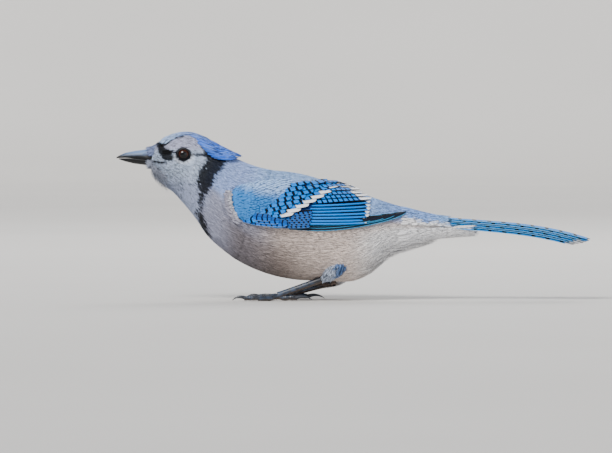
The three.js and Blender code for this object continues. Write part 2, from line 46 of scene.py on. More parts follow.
# The skin of the whole bird, from the feathered edge of the bill to the root of the tail, in one closed
# surface so that no seam shows where head, neck and body meet. It carries the plumage's markings and
# lies under the coat. Sizes are millimetres, with the photo's column 353 as x = 0 and the floor as z = 0.
MM = 0.001
STATIONS = np.array([  # top x, top z, bottom x, bottom z, half width
    (-118.2, 91.0, -119.8, 79.4, 4.9),
    (-115.8, 93.0, -117.6, 76.0, 7.4),
    (-111.0, 95.8, -114.0, 71.2, 10.8),
    (-104.8, 98.0, -110.4, 67.6, 13.4),
    (-97.6, 98.6, -105.8, 64.4, 14.6),
    (-89.8, 95.6, -100.8, 58.6, 14.6),
    (-82.4, 90.6, -95.6, 52.0, 14.8),
    (-75.4, 86.2, -91.2, 46.0, 16.0),
    (-67.6, 82.6, -86.2, 38.6, 18.4),
    (-59.0, 79.2, -79.0, 31.8, 21.6),
    (-49.5, 76.8, -67.0, 23.0, 24.2),
    (-38.0, 75.6, -51.5, 16.2, 26.0),
    (-26.0, 73.2, -35.0, 12.6, 26.8),
    (-12.5, 68.6, -17.0, 11.8, 26.0),
    (0.0, 64.4, -1.5, 11.6, 24.0),
    (10.5, 60.8, 9.0, 16.4, 21.2),
    (20.5, 57.4, 19.6, 26.2, 17.4),
    (31.5, 54.2, 31.0, 30.8, 13.8),
    (44.0, 51.0, 44.0, 35.0, 10.8),
    (57.0, 48.4, 58.0, 39.6, 8.4),
])
LAST = len(STATIONS) - 1
ROUND = 2.15
BILL_TIP_X = -140.4
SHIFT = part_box("bill_upper")[0].x / MM - BILL_TIP_X
EYE = np.array([-100.3, 86.3])
SKIN_DEPTH = 0.8


def section(s):
    """The body's outline at station s, on smooth curves: top x, top z, bottom x, bottom z, half width."""
    s = np.clip(np.asarray(s, float), 0, LAST)
    i = np.minimum(s.astype(int), LAST - 1)
    t = (s - i)[..., None]
    p0, p1 = STATIONS[np.maximum(i - 1, 0)], STATIONS[i]
    p2, p3 = STATIONS[i + 1], STATIONS[np.minimum(i + 2, LAST)]
    return 0.5 * (2 * p1 + (p2 - p0) * t + (2 * p0 - 5 * p1 + 4 * p2 - p3) * t**2
                  + (3 * p1 - p0 - 3 * p2 + p3) * t**3)


def surface(s, angle):
    """A point of the body: angle 90 on the back, 0 on the left side, -90 on the belly, 180 on the right."""
    q = section(s)
    a = np.radians(angle)
    c, h = np.cos(a), np.sin(a)
    h = np.sign(h) * np.abs(h) ** (2 / ROUND)
    x = (q[..., 0] + q[..., 2]) / 2 + h * (q[..., 0] - q[..., 2]) / 2
    z = (q[..., 1] + q[..., 3]) / 2 + h * (q[..., 1] - q[..., 3]) / 2
    y = -q[..., 4] * np.sign(c) * np.abs(c) ** (2 / ROUND)
    return np.stack([x, y, z], -1)


def unit(v):
    return v / np.maximum(np.linalg.norm(v, axis=-1, keepdims=True), 1e-9)


def normal(place, a, b):
    """The way out of a surface, for a place that gives its points for a and b."""
    step = 0.03
    along = place(a + step, b) - place(a - step, b)
    around = place(a, b + 1.0) - place(a, b - 1.0)
    return unit(np.cross(along, around))


def body(s, angle, lift=0.0):
    """A point of the body raised off it by lift."""
    held = np.clip(s, 0.06, LAST - 0.06)
    return surface(s, angle) + normal(surface, held, angle) * np.asarray(lift)[..., None]


def smooth(low, high, x):
    t = np.clip((x - low) / (high - low), 0, 1)
    return t * t * (3 - 2 * t)


def paint(code):
    """A colour code as the plain red, green and blue that shaders work in."""
    value = np.array([int(code[i:i + 2], 16) / 255 for i in (1, 3, 5)])
    return np.where(value < 0.04045, value / 12.92, ((value + 0.055) / 1.055) ** 2.4)


def blend(under, over, share):
    return under + (over - under) * np.asarray(share)[..., None]


def near_path(x, z, path):
    """How far a point of the side view lies outside a line of changing thickness: rows of x, z, radius."""
    best = np.full(np.shape(x), 1e3)
    for (xa, za, ra), (xb, zb, rb) in zip(path[:-1], path[1:]):
        dx, dz = xb - xa, zb - za
        t = np.clip(((x - xa) * dx + (z - za) * dz) / (dx * dx + dz * dz), 0, 1)
        best = np.minimum(best, np.hypot(x - xa - t * dx, z - za - t * dz) - (ra + t * (rb - ra)))
    return best


CREST_EDGE = np.array([(-118, 91.8), (-112, 91.8), (-109.3, 93.8), (-105.2, 96.4), (-99.8, 97.4),
                       (-94.6, 96.2), (-89.4, 92.0), (-85.9, 87.8), (-80.7, 84.4), (-74.6, 84.0),
                       (-66, 84.6)])
COLLAR = [(-80.6, 84.4, 5.2), (-85.1, 76.2, 5.0), (-87.5, 70.6, 4.9), (-88.0, 65.4, 2.5),
          (-89.4, 61.4, 1.4), (-90.3, 56.2, 0.9), (-91.4, 51.9, 1.2), (-89.4, 46.7, 2.0),
          (-87.2, 41.5, 1.6), (-84.8, 37.5, 0.8)]
EYE_STRIPE = [(-96.2, 86.3, 0.4), (-91.1, 86.0, 0.55), (-86.6, 86.2, 1.1), (-82.0, 85.6, 2.0)]
CREST_SHADOW = [(-90.6, 92.2, 0.3), (-88.2, 89.6, 0.8), (-85.0, 86.4, 1.5), (-79.0, 83.6, 1.4),
                (-71, 83.6, 0.7)]
LORE = [(-116.0, 92.8, 0.9), (-114.3, 91.4, 1.6), (-112.7, 88.4, 2.3), (-110.2, 86.2, 3.1),
        (-108.2, 84.6, 2.0)]
LORE_LINE = [(-111.5, 87.6, 1.4), (-107.7, 87.8, 1.0), (-104.2, 87.6, 0.6)]
BROW_LINE = [(-113.2, 91.6, 1.0), (-109.9, 93.2, 0.75), (-106.8, 95.5, 0.65), (-100.7, 97.0, 0.3)]
GAPE = [(-119.4, 82.5, 0.5), (-114.0, 81.7, 0.5), (-110.4, 81.4, 0.3)]

BLACK, LAVENDER, WHITE = paint("#07080d"), paint("#cfd2ec"), paint("#f6f7fb")
CROWN_FRONT, CROWN_BACK = paint("#bed8fd"), paint("#2a72ee")
CHEEK, THROAT, NAPE = paint("#d2e2fa"), paint("#b6c0e0"), paint("#aac2f6")
BREAST, FLANK, BELLY, VENT = paint("#a9acc2"), paint("#d8c6bb"), paint("#f8e6da"), paint("#f8f6f5")
MANTLE, RUMP, SHOULDER = paint("#a6ccff"), paint("#8cb2f0"), paint("#3c8ad6")


def plumage(point, jitter):
    """The bird's markings, as a colour for each root of the coat and each point of the skin."""
    x, y, z = point[..., 0], np.abs(point[..., 1]), point[..., 2]
    x, z = x + jitter[..., 0], z + jitter[..., 1]
    q = section(np.interp(x + 0.28 * (z - 60), (STATIONS[:, 0] + STATIONS[:, 2]) / 2
                          + 0.28 * ((STATIONS[:, 1] + STATIONS[:, 3]) / 2 - 60), np.arange(LAST + 1)))
    rise = np.clip(2 * (z - q[..., 3]) / np.maximum(q[..., 1] - q[..., 3], 1) - 1, -1, 1)
    # breast, belly, vent, and painted shade under the lower breast
    color = blend(BREAST, FLANK, smooth(-66, -40, x))
    color = blend(color, BELLY, smooth(-34, 4, x) * smooth(0.3, -0.4, rise) * 0.9)
    color = blend(color, VENT, smooth(-6, 16, x) * smooth(0.35, -0.1, rise))
    # painted shade: the underside of the breast is darkened to brown grey, standing in for the shadow the
    # body casts on itself
    painted_breast_shade = smooth(-84, -66, x) * smooth(-24, -44, x) * smooth(-0.15, -0.8, rise)
    color = blend(color, paint("#786c66"), painted_breast_shade * 0.75)
    # back, nape and the grey blue behind the collar
    back = smooth(0.02, 0.5, rise - 0.1 * smooth(-60, -30, x))
    color = blend(color, blend(MANTLE, RUMP, smooth(0, 30, x)), back)
    color = blend(color, NAPE, smooth(-46, -66, x) * smooth(-0.2, 0.35, rise))
    behind = x - np.interp(z, [38, 50, 60, 66, 71, 76, 84, 95], [-85, -91, -89.5, -88, -87.5, -85, -81, -81])
    neck = smooth(7, 1, behind) * smooth(50, 60, z)
    color = blend(color, blend(THROAT, NAPE, smooth(-0.5, 0.6, rise)), neck * 0.85)
    # cheek and throat in front of the collar, and the brow under the crest
    front = smooth(1, -3, behind)
    color = blend(color, CHEEK, front)
    color = blend(color, THROAT, front * smooth(76, 66, z) * 0.8)
    color = blend(color, LAVENDER, smooth(87.5, 90.5, z) * smooth(-80, -86, x))
    # crown
    edge = z - np.interp(x, CREST_EDGE[:, 0], CREST_EDGE[:, 1])
    crown = smooth(-0.4, 0.7, edge) * smooth(-66, -70, x)
    blue = blend(CROWN_FRONT, CROWN_BACK, smooth(-108, -84, x + 0.4 * (edge - 3)))
    color = blend(color, blue, crown)
    # black lines, then the pale ring of small feathers round each eye
    for path, soft in ((COLLAR, 1.0), (EYE_STRIPE, 0.4), (CREST_SHADOW, 0.6), (LORE, 0.6),
                       (LORE_LINE, 0.4), (BROW_LINE, 0.4), (GAPE, 0.4)):
        strand = 2.4 * jitter[..., 0] if path is COLLAR else 0
        color = blend(color, BLACK, smooth(soft, -0.2, near_path(x + strand, z, path)) * 0.96)
    ring = np.hypot(x - EYE[0], (z - EYE[1]) * 1.08)
    color = blend(color, WHITE, smooth(6.6, 5.2, ring) * smooth(87, 85, z) * 0.5)
    return blend(color, BLACK, smooth(4.9, 4.4, ring) * (y > 6))


class Value:
    """One socket of a material's nodes, so that sums of sockets can be written as plain sums."""

    def __init__(self, tree, socket):
        self.tree, self.socket = tree, socket

    def node(self, kind, settings=None, out=0, **inputs):
        """A node of any kind: its settings, which output is meant, and its inputs by name or as i0, i1."""
        made = self.tree.nodes.new(kind)
        for name, setting in (settings or {}).items():
            setattr(made, name, setting)
        for name, value in inputs.items():
            socket = made.inputs[int(name[1:]) if name[1:].isdigit() else name]
            if isinstance(value, Value):
                self.tree.links.new(value.socket, socket)
            else:
                socket.default_value = value
        return Value(self.tree, made.outputs[out])

    def output(self, index):
        return Value(self.tree, self.socket.node.outputs[index])

    def attribute(self, name, out=0):
        """What a mesh carries for each point: out 0 as a colour, 1 as three numbers, 2 as one."""
        return self.node("ShaderNodeAttribute", {"attribute_name": name}, out)

    def noise(self, scale, detail=2.0, roughness=0.5):
        place = self.node("ShaderNodeTexCoord", out=3)
        return self.node("ShaderNodeTexNoise", i0=place, Scale=scale, Detail=detail, Roughness=roughness)

    def math(self, operation, other=0.0):
        return self.node("ShaderNodeMath", {"operation": operation}, i0=self, i1=other)

    def __add__(self, other):
        return self.math("ADD", other)

    def __mul__(self, other):
        return self.math("MULTIPLY", other)

    def __sub__(self, other):
        return self.math("SUBTRACT", other)

    def __rsub__(self, other):
        return self.node("ShaderNodeMath", {"operation": "SUBTRACT"}, i0=other, i1=self)

    __radd__, __rmul__ = __add__, __mul__

    def step(self, low, high):
        """0 below low and 1 above high, smooth between; falls where low is the larger."""
        flip = low > high
        low, high = min(low, high), max(low, high)
        made = self.node("ShaderNodeMapRange", {"interpolation_type": "SMOOTHSTEP"},
                         i0=self, i1=float(low), i2=float(high))
        return 1 - made if flip else made

    def dimmed(self, share):
        """This colour, darkened to a share of its red, green and blue."""
        return self.node("ShaderNodeMix", {"data_type": "RGBA", "blend_type": "MULTIPLY"}, 2,
                         i0=1.0, i6=self, i7=(*share, 1.0))

    def mix(self, under, over):
        """Under where this is 0 and over where it is 1, for two colours."""
        def color(c):
            return c if isinstance(c, Value) else (*np.asarray(c, float).tolist(), 1.0)
        return self.node("ShaderNodeMix", {"data_type": "RGBA"}, 2, i0=self, i6=color(under), i7=color(over))


def finish_named(name, roughness, **plain):
    """A new material: its tree as a Value to build on, and its shader, with the plain numbers set."""
    material = bpy.data.materials.new(name)
    material.use_nodes = True
    tree = material.node_tree
    shader = tree.nodes["Principled BSDF"]
    shader.inputs["Roughness"].default_value = roughness
    for socket, number in plain.items():
        shader.inputs[socket.replace("_", " ")].default_value = number
    return material, Value(tree, shader.outputs[0]), shader


def feed(shader, tree, socket, value):
    """Lets a value drive one socket of the shader."""
    tree.tree.links.new(value.socket, shader.inputs[socket])


def feed_bump(shader, tree, height, strength, distance=0.0002):
    bump = tree.node("ShaderNodeBump", Strength=strength, Distance=distance, Height=height)
    feed(shader, tree, "Normal", bump)


coat_finish, tree, shader = finish_named("small_feathers", 0.72, Sheen_Weight=0.04, Sheen_Roughness=0.4,
                                         Specular_IOR_Level=0.12)
color, barbs = tree.attribute("Tint"), tree.noise(1600.0, 3.0, 0.6)
feed(shader, tree, "Base Color", barbs.step(0.42, 0.62).mix(color.dimmed((0.8, 0.8, 0.82)), color))
feed_bump(shader, tree, barbs, 0.3, 0.0003)


def piece(name, points, faces, material, tint=None, layers=None, flip=False):
    """A mesh in millimetres of the photo's side view, placed in the frame and riding on the bird."""
    mesh = bpy.data.meshes.new(name)
    points = (np.asarray(points, float) + [SHIFT, 0, 0]) * MM
    mesh.vertices.add(len(points))
    mesh.vertices.foreach_set("co", points.astype(np.float32).ravel())
    sizes = np.array([len(face) for face in faces])
    corners = np.concatenate(faces)
    mesh.loops.add(len(corners))
    mesh.loops.foreach_set("vertex_index", corners.astype(np.int32))
    mesh.polygons.add(len(sizes))
    mesh.polygons.foreach_set("loop_start", np.concatenate([[0], np.cumsum(sizes)[:-1]]).astype(np.int32))
    mesh.polygons.foreach_set("use_smooth", np.ones(len(sizes), bool))
    mesh.update(calc_edges=True)
    if tint is not None:
        colors = np.ones((len(points), 4), np.float32)
        colors[:, :3] = tint
        mesh.attributes.new("Tint", "FLOAT_COLOR", "POINT").data.foreach_set("color", colors.ravel())
    for layer, values in (layers or {}).items():
        if layer == "OFBake":
            uv = mesh.uv_layers.new(name=layer)
            uv.data.foreach_set("uv", np.asarray(values)[corners].astype(np.float32).ravel())
        else:
            store = mesh.attributes.new(layer, "FLOAT_VECTOR", "POINT")
            store.data.foreach_set("vector", np.asarray(values, np.float32).ravel())
    if flip:
        mesh.flip_normals()
    mesh.materials.append(material)
    made = bpy.data.objects.new(name, mesh)
    bpy.context.scene.collection.objects.link(made)
    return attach(made, "root")


def tube_faces(rows, sides):
    """Quads over rows of points that run round a tube, each end shut by one face."""
    r, c = np.meshgrid(np.arange(rows - 1), np.arange(sides), indexing="ij")
    a, b = r * sides + c, r * sides + (c + 1) % sides
    quads = np.stack([a, b, b + sides, a + sides], -1).reshape(-1, 4)
    return [*quads, np.arange(sides)[::-1], np.arange((rows - 1) * sides, rows * sides)]


def round_grid(rows, sides, turn, low=0.0, high=1.0):
    """Rows from low to high by steps round one turn, for a tube."""
    return np.meshgrid(np.linspace(low, high, rows), np.arange(sides) * turn / sides, indexing="ij")


rows, sides = 150, 96
row_s, row_a = round_grid(rows, sides, 360, 0, LAST)
depth = SKIN_DEPTH * smooth(0, 2, row_s)
points = body(row_s, row_a, -depth).reshape(-1, 3)
tint = plumage(points, np.zeros((len(points), 2)))
skin = piece("skin", points, tube_faces(rows, sides), coat_finish, tint, flip=True)
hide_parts("neck", "torso", "head")


# The coat of small feathers: thousands of narrow pointed tufts that lie back from the bill along the
# skin, shortest on the face and longest on the flanks and vent. Each is a closed sliver with a raised
# middle, and each takes the marking of the skin at its own root.
PATCH = 0.003


def tufts(name, place, a, b, length, width, rise, *, sway, tint=None, flat=0.12, ends=None, tone=1.0):
    """Tufts rooted at a, b of a surface and lying toward larger a. Sizes may be one for each tuft."""
    count = len(a)
    length, width, rise = (np.broadcast_to(v, count).astype(float) for v in (length, width, rise))
    tone = np.broadcast_to(tone, count)
    here = place(a, b)
    pace_a = np.linalg.norm(place(a + 0.05, b) - place(a - 0.05, b), axis=-1) / 0.1
    pace_b = np.linalg.norm(place(a, b + 1) - place(a, b - 1), axis=-1) / 2
    cuts = np.array([0.0, 0.33, 0.72, 1.0])
    spread = np.array([0.62, 1.0, 0.72, 0.0])
    height = np.array([-0.25, 0.5, 0.9, 1.0])
    rings, shades = [], []
    previous = None
    wander = rng.normal(0, 0.3, (count, 2))
    for cut, wide, high in zip(cuts, spread, height):
        sa = a + length * cut * np.cos(sway) / pace_a
        sb = b + length * cut * np.sin(sway) / pace_b
        out = normal(place, sa, sb)
        spot = place(sa, sb)
        shades.append(plumage(spot, wander) if tint is None else tint)
        spot = spot + out * (rise * high)[:, None]
        ahead = spot - previous if previous is not None else place(sa + 0.03, sb) - here
        across = unit(np.cross(out, ahead)) * (width * wide / 2)[:, None]
        crown = out * (width * flat * max(wide, 0.2))[:, None]
        rings.append((spot - across, spot + crown, spot + across) if wide else (spot,))
        previous = spot
    points = np.stack([p for ring in rings for p in ring], 1)
    shape = [(0, 2, 1)]
    for k in (0, 3):
        for i, j in ((0, 1), (1, 2), (2, 0)):
            shape += [(k + i, k + j, k + j + 3), (k + i, k + j + 3, k + i + 3)]
    shape += [(6, 7, 9), (7, 8, 9), (8, 6, 9)]
    shape = np.array(shape)[:, ::-1]
    faces = (shape[None] + 10 * np.arange(count)[:, None, None]).reshape(-1, 3)
    shades = np.stack([shades[k] for k in (0, 0, 0, 1, 1, 1, 2, 2, 2, 3)], 1)
    shades = shades * rng.uniform(0.9, 1.08, (count, 1, 1)) * tone[:, None, None]
    # painted shade and highlight: each tuft is darker at its root, where the tufts over it shade it, and
    # lighter along its raised middle and at its tip
    shade = np.array([0.9, 0.9, 0.9, 0.96, 0.98, 0.96, 1.0, 1.02, 1.0, 1.05])
    colors = np.clip(shades * shade[None, :, None], 0, 1).reshape(-1, 3)
    low, high = ends or ((0.0, LAST), (-180.0, 180.0))
    flat_a = (a - low[0]) / (low[1] - low[0])
    flat_b = ((b + 180) % 360) / 360 if high == (-180.0, 180.0) else (b - high[0]) / (high[1] - high[0])
    center = 0.004 + 0.992 * np.stack([np.clip(flat_a, 0, 1), np.clip(flat_b, 0, 1)], -1)
    patch = PATCH / 2 * np.array([(-1, -1), (-1, 0), (-1, 1), (-0.3, -1), (-0.3, 0), (-0.3, 1),
                               (0.4, -1), (0.4, 0), (0.4, 1), (1, 0)])
    uv = (center[:, None] + patch[None]).reshape(-1, 2)
    made = piece(name, points.reshape(-1, 3), faces, coat_finish, colors, {"OFBake": uv})


def scatter(s_from, s_to, row_gap, gap):
    """Roots in staggered rows round the body, about gap apart, in millimetres."""
    quarters, turns = np.array([0.0, 90, 180, -90]), np.linspace(-180, 180, 73)
    s_list, a_list = [], []
    s, row = s_from, 0
    while s < s_to:
        along = surface(s + 0.05, quarters) - surface(s - 0.05, quarters)
        pace = np.linalg.norm(along, axis=-1).mean() / 0.1
        steps = np.linalg.norm(np.diff(surface(np.full(len(turns), s), turns), axis=0), axis=1)
        reach = np.concatenate([[0], np.cumsum(steps)])
        count = max(8, int(reach[-1] / gap))
        spots = (np.arange(count) + 0.5 * (row % 2) + rng.uniform(-0.32, 0.32, count)) / count * reach[-1]
        a_list.append(np.interp(spots % reach[-1], reach, turns))
        s_list.append(s + rng.uniform(-0.4, 0.4, count) * row_gap / pace)
        s += row_gap / pace
        row += 1
    s_all, a_all = np.concatenate(s_list), np.concatenate(a_list)
    return s_all[s_all > 0], a_all[s_all > 0]


def beside(point):
    """Where a point of the body lies under the folded wing."""
    x, z = point[:, 0], point[:, 2]
    low = np.interp(x, [-70, -62, -46, -10, 4], [56, 50, 45.5, 45.0, 46.5])
    high = np.interp(x, [-70, -60, -40, -10, 4], [58, 62, 65, 63, 59])
    return (x > -66) & (x < 4) & (z > low) & (z < high)


EYE_CLEAR = 4.5
s, a = scatter(0.2, 5.5, 0.58, 0.49)
root = surface(s, a)
off_x, off_z = root[:, 0] - EYE[0], root[:, 2] - EYE[1]
from_eye = np.hypot(off_x, off_z)
aside = np.abs(root[:, 1]) > 6
grow = smooth(0.2, 5.5, s)
length = 1.5 + 2.6 * grow + rng.uniform(-0.3, 0.4, len(s))
ahead = aside & (off_x < 0) & (np.abs(off_z) < EYE_CLEAR)
room = -off_x - np.sqrt(np.clip(EYE_CLEAR**2 - off_z**2, 0, None))
length = np.where(ahead, np.minimum(length, room), length)
keep = ((from_eye > EYE_CLEAR) | ~aside) & (length > 0.6)
s, a, root, length, grow = s[keep], a[keep], root[keep], length[keep], grow[keep]
chin = smooth(88, 80, root[:, 2]) * smooth(-98, -108, root[:, 0])
dusky = rng.uniform(0, 1, len(s)) < 0.18 + 0.3 * chin
tone = np.where(dusky, rng.uniform(0.3, 0.7, len(s)), 1.0)
rise = 0.25 + rng.uniform(0, 0.35, len(s)) + 0.5 * chin
sway = rng.normal(0, 0.13, len(s))
tufts("coat_head", body, s, a, length, 0.42 + 0.3 * grow, rise, sway=sway, tone=tone)

s, a = scatter(5.2, 9.4, 0.85, 0.72)
grow = smooth(5, 9.4, s)
tone = 1 + grow * rng.choice([-0.22, -0.07, 0.0, 0.0, 0.08], len(s))
rise = 0.26 + rng.uniform(0, 0.3, len(s))
sway = rng.normal(0, 0.13 - 0.08 * grow)
tufts("coat_neck", body, s, a, 4.4 + 3.6 * grow, 0.68 + 0.14 * grow, rise,
      sway=sway, flat=0.1, tone=tone)

s, a = scatter(9.2, 17.6, 0.92, 0.8)
root = surface(s, a)
keep = ~beside(root)
s, a, root = s[keep], a[keep], root[keep]
front = (smooth(-79, -75, root[:, 0]) * smooth(-66, -69, root[:, 0])
         * smooth(49, 53, root[:, 2]) * smooth(64, 60, root[:, 2]))
vent = smooth(13.2, 15.2, s) * smooth(-30, -62, a) * smooth(-150, -118, a)
for name, part in (("coat_left", np.abs(a) <= 90), ("coat_right", np.abs(a) > 90)):
    count = part.sum()
    lift = 0.2 + rng.uniform(0, 0.22, count)
    lift = lift + (2.6 * vent * rng.uniform(0, 1, len(s)) ** 2 + 1.6 * front)[part]
    tone = rng.choice([0.78, 0.93, 1.0, 1.0, 1.08], count)
    reach = 9.0 + 2.6 * vent[part] + rng.uniform(-1.4, 1.4, count)
    tufts(name, body, s[part], a[part], reach, 0.8, lift,
          sway=rng.normal(0, 0.045, count), flat=0.08, tone=tone)


# The folded wings: a rounded shoulder of small scale-like coverts, then rows of larger feathers that
# overlap like tiles, each a thin blade with a shaft, set along the side of the body. Azure webs carry
# fine black bars, and the longer coverts, secondaries and tertials end in white.
def from_side(x, z, lift, side=-1):
    """The body's left or right surface under points of the side view."""
    x, z, lift = (np.asarray(v, float) for v in np.broadcast_arrays(x, z, lift))
    low, high = np.full(x.shape, 0.1), np.full(x.shape, LAST - 0.1)
    for _ in range(24):
        mid = (low + high) / 2
        q = section(mid)
        behind = (q[..., 0] - q[..., 2]) * (z - q[..., 3]) - (q[..., 1] - q[..., 3]) * (x - q[..., 2])
        high, low = np.where(behind > 0, mid, high), np.where(behind > 0, low, mid)
    q = section(low)
    h = np.clip(2 * (z - q[..., 3]) / (q[..., 1] - q[..., 3]) - 1, -0.99, 0.99)
    angle = np.degrees(np.arcsin(np.sign(h) * np.abs(h) ** (ROUND / 2)))
    out = normal(surface, low, angle)
    point = surface(low, angle) + out * lift[..., None]
    flip = np.array([1, -side, 1])
    return point * flip, out * flip


def blade(points, across, out, width, thick=0.28, columns=6, root=0.6, tip=0.82, curl=0.5):
    """One feather round a spine of points: a closed thin blade with a drooping edge and a rounded tip."""
    count = len(points)
    along = np.concatenate([[0], np.cumsum(np.linalg.norm(np.diff(points, axis=0), axis=1))])
    t = along / along[-1]
    half = width / 2 * (root + (1 - root) * smooth(0, 0.3, t))
    half = half * np.sqrt(np.clip(1 - np.clip((t - tip) / (1 - tip), 0, 1) ** 2.4, 0.0, 1))
    half = np.maximum(half, 0.06)
    web = np.linspace(-1, 1, columns + 1)
    droop = -curl * web**2 * (width / 6)
    grid = points[:, None] + across[:, None] * (half[:, None] * web)[..., None]
    grid = grid + out[:, None] * droop[None, :, None]
    shaft = 0.12 * np.exp(-(web / 0.12) ** 2)
    fade = (1 - 0.8 * smooth(0.85, 1, t))[:, None, None]
    up = out[:, None] * (thick / 2 + shaft)[None, :, None] * fade
    down = out[:, None] * (thick / 2) * fade
    both = np.concatenate([(grid + up).reshape(-1, 3), (grid - down).reshape(-1, 3)])
    wide = columns + 1
    r, c = np.meshgrid(np.arange(count - 1), np.arange(columns), indexing="ij")
    a = (r * wide + c).ravel()
    upper = np.stack([a, a + 1, a + 1 + wide, a + wide], -1)
    lower = upper[:, ::-1] + count * wide
    rim_a = np.concatenate([np.arange(count) * wide, (count - 1) * wide + np.arange(1, wide),
                            (np.arange(count)[::-1] * wide + columns)[1:], np.arange(1, columns)[::-1]])
    rim_b = np.roll(rim_a, -1)
    rim = np.stack([rim_a, rim_b, rim_b + count * wide, rim_a + count * wide], -1)
    faces = np.concatenate([upper, lower, rim[:, ::-1]])
    if np.dot(np.cross(across[0], points[1] - points[0]), out[0]) < 0:
        faces = faces[:, ::-1]
    local = np.stack([np.repeat(along, wide), np.repeat(along[-1] - along, wide), np.tile(web, count)], -1)
    flat = np.stack([np.repeat(t, wide), np.tile(web * 0.5 + 0.5, count)], -1)
    return both, faces, np.concatenate([local, local]), np.concatenate([flat, flat])


def side_spine(start, end, lift, bow, tilt, rows, side):
    """The shaft of a wing feather along the body's side: its points, and which way its width and face lie."""
    t = np.linspace(0, 1, rows + 1)
    t = 1 - (1 - t) ** 1.35
    rooted = lift[0] * 0.4 + (lift[0] * 0.6) * t / 0.25
    heights = np.where(t < 0.25, rooted, lift[0] + (lift[1] - lift[0]) * t)
    z = start[1] + (end[1] - start[1]) * t - bow * np.sin(np.pi * t)
    points, out = from_side(start[0] + (end[0] - start[0]) * t, z, heights, side)
    along = unit(np.gradient(points, axis=0))
    across = unit(np.cross(out, along)) * side
    turn = math.radians(tilt)
    tilted = across * math.cos(turn) + out * math.sin(turn)
    facing = unit(np.cross(along, tilted))
    facing = facing * np.sign(np.sum(facing * out, -1, keepdims=True))
    return points, tilted, facing


def group_of(blades, name, material):
    """Joins blades into one piece, each with its own cell of the bake's map."""
    cells = math.ceil(math.sqrt(len(blades)))
    points, faces, local, flat, seeds, first = [], [], [], [], [], 0
    for i, (p, f, l, uv) in enumerate(blades):
        points.append(p)
        faces.append(f + first)
        local.append(l)
        half = len(p) // 2
        cell = np.array([i % cells, i // cells])
        under = np.concatenate([np.zeros(half), np.full(half, 0.5)])
        uv = np.stack([uv[:, 0] * 0.94 + 0.03, uv[:, 1] * 0.44 + 0.03 + under], -1)
        flat.append((cell + uv) / cells)
        seeds.append(np.full((len(p), 3), (i * 0.37) % 1))
        first += len(p)
    layers = {"Blade": np.concatenate(local), "Own": np.concatenate(seeds), "OFBake": np.concatenate(flat)}
    made = piece(name, np.concatenate(points), np.concatenate(faces), material, layers=layers)
    return made


BARB_LEAN, BARB_PITCH = 1.4, 9.0


def blade_finish(name, outer, inner, bar_gap=0.0, bar_width=0.35, white=0.0, rim=None, rim_at=0.8,
                 both=False, split_at=0.0, line=0.0):
    """A large feather: azure outer web, darker inner web, bars across it, a dark shaft line and pale tip.
    Gaps and white are millimetres along it, rim_at and line shares of its half width."""
    material, tree, shader = finish_named(name, 0.5, Specular_IOR_Level=0.08)
    along = tree.node("ShaderNodeSeparateXYZ", i0=tree.attribute("Blade", 1))
    left, web = along.output(1), along.output(2)
    own = tree.attribute("Own", 2)
    rough = tree.noise(420.0)
    edge = web.math("ABSOLUTE")
    barbs = ((along + edge * BARB_LEAN) * BARB_PITCH).math("SINE") * 0.5 + 0.5
    tone = own * 0.25 + rough * 0.35
    color = tone.mix(outer, np.asarray(outer) * 0.72)
    if not both:
        color = web.step(split_at + 0.05, split_at - 0.05).mix(color, inner)
    if bar_gap:
        wave = (left + edge * 0.5 + own * bar_gap * 0.5) * (2 * math.pi / bar_gap) + rough * 1.6
        stripes = wave.math("SINE").step(1 - 2 * bar_width, 1 - 2 * bar_width + 0.25)
        color = stripes.mix(color, BLACK)
    if rim is not None:
        color = edge.step(rim_at - 0.05, rim_at + 0.05).mix(color, rim)
    if white:
        end = (left + rough * 1.2 + edge * 0.8).step(white + 1.2, white + 0.4)
        color = end.mix(color, paint("#f8f9fb"))
    if line:
        color = edge.step(line - 0.04, line + 0.04).mix(color, DEEP)
    color = edge.step(0.07, 0.03).mix(color, paint("#0c1c3c"))
    feed(shader, tree, "Base Color", barbs.mix(color.dimmed((0.82, 0.82, 0.84)), color))
    feed_bump(shader, tree, barbs, 0.35)
    return material


AZURE, DEEP, TEAL = paint("#0089ef"), paint("#040a1c"), paint("#3f9fd0")
NAVY = paint("#0d2a63")
primary_finish = blade_finish("primaries", paint("#1d222d"), paint("#101216"), rim=TEAL, rim_at=0.88)
secondary_finish = blade_finish("secondaries", AZURE, DEEP, white=2.8, split_at=0.5)
tertial_finish = blade_finish("tertials", AZURE, paint("#0a5fc0"), bar_gap=3.2, bar_width=0.28, white=8.8,
                              both=True, line=0.9)
greater_finish = blade_finish("greater_coverts", AZURE, NAVY, bar_gap=4.6, bar_width=0.3, white=8.2,
                              both=True, line=0.9)
median_finish = blade_finish("median_coverts", AZURE, NAVY, bar_gap=4.4, bar_width=0.32,
                             both=True, line=0.92)
hand_finish = blade_finish("primary_coverts", paint("#0d5cb4"), DEEP, bar_gap=2.8, bar_width=0.42,
                           rim=paint("#5f87b8"), rim_at=0.9)
alula_finish = blade_finish("alula", paint("#0a6cd8"), paint("#0f55a8"), bar_gap=3.2, bar_width=0.26,
                            rim=paint("#7fa8d0"), rim_at=0.93)
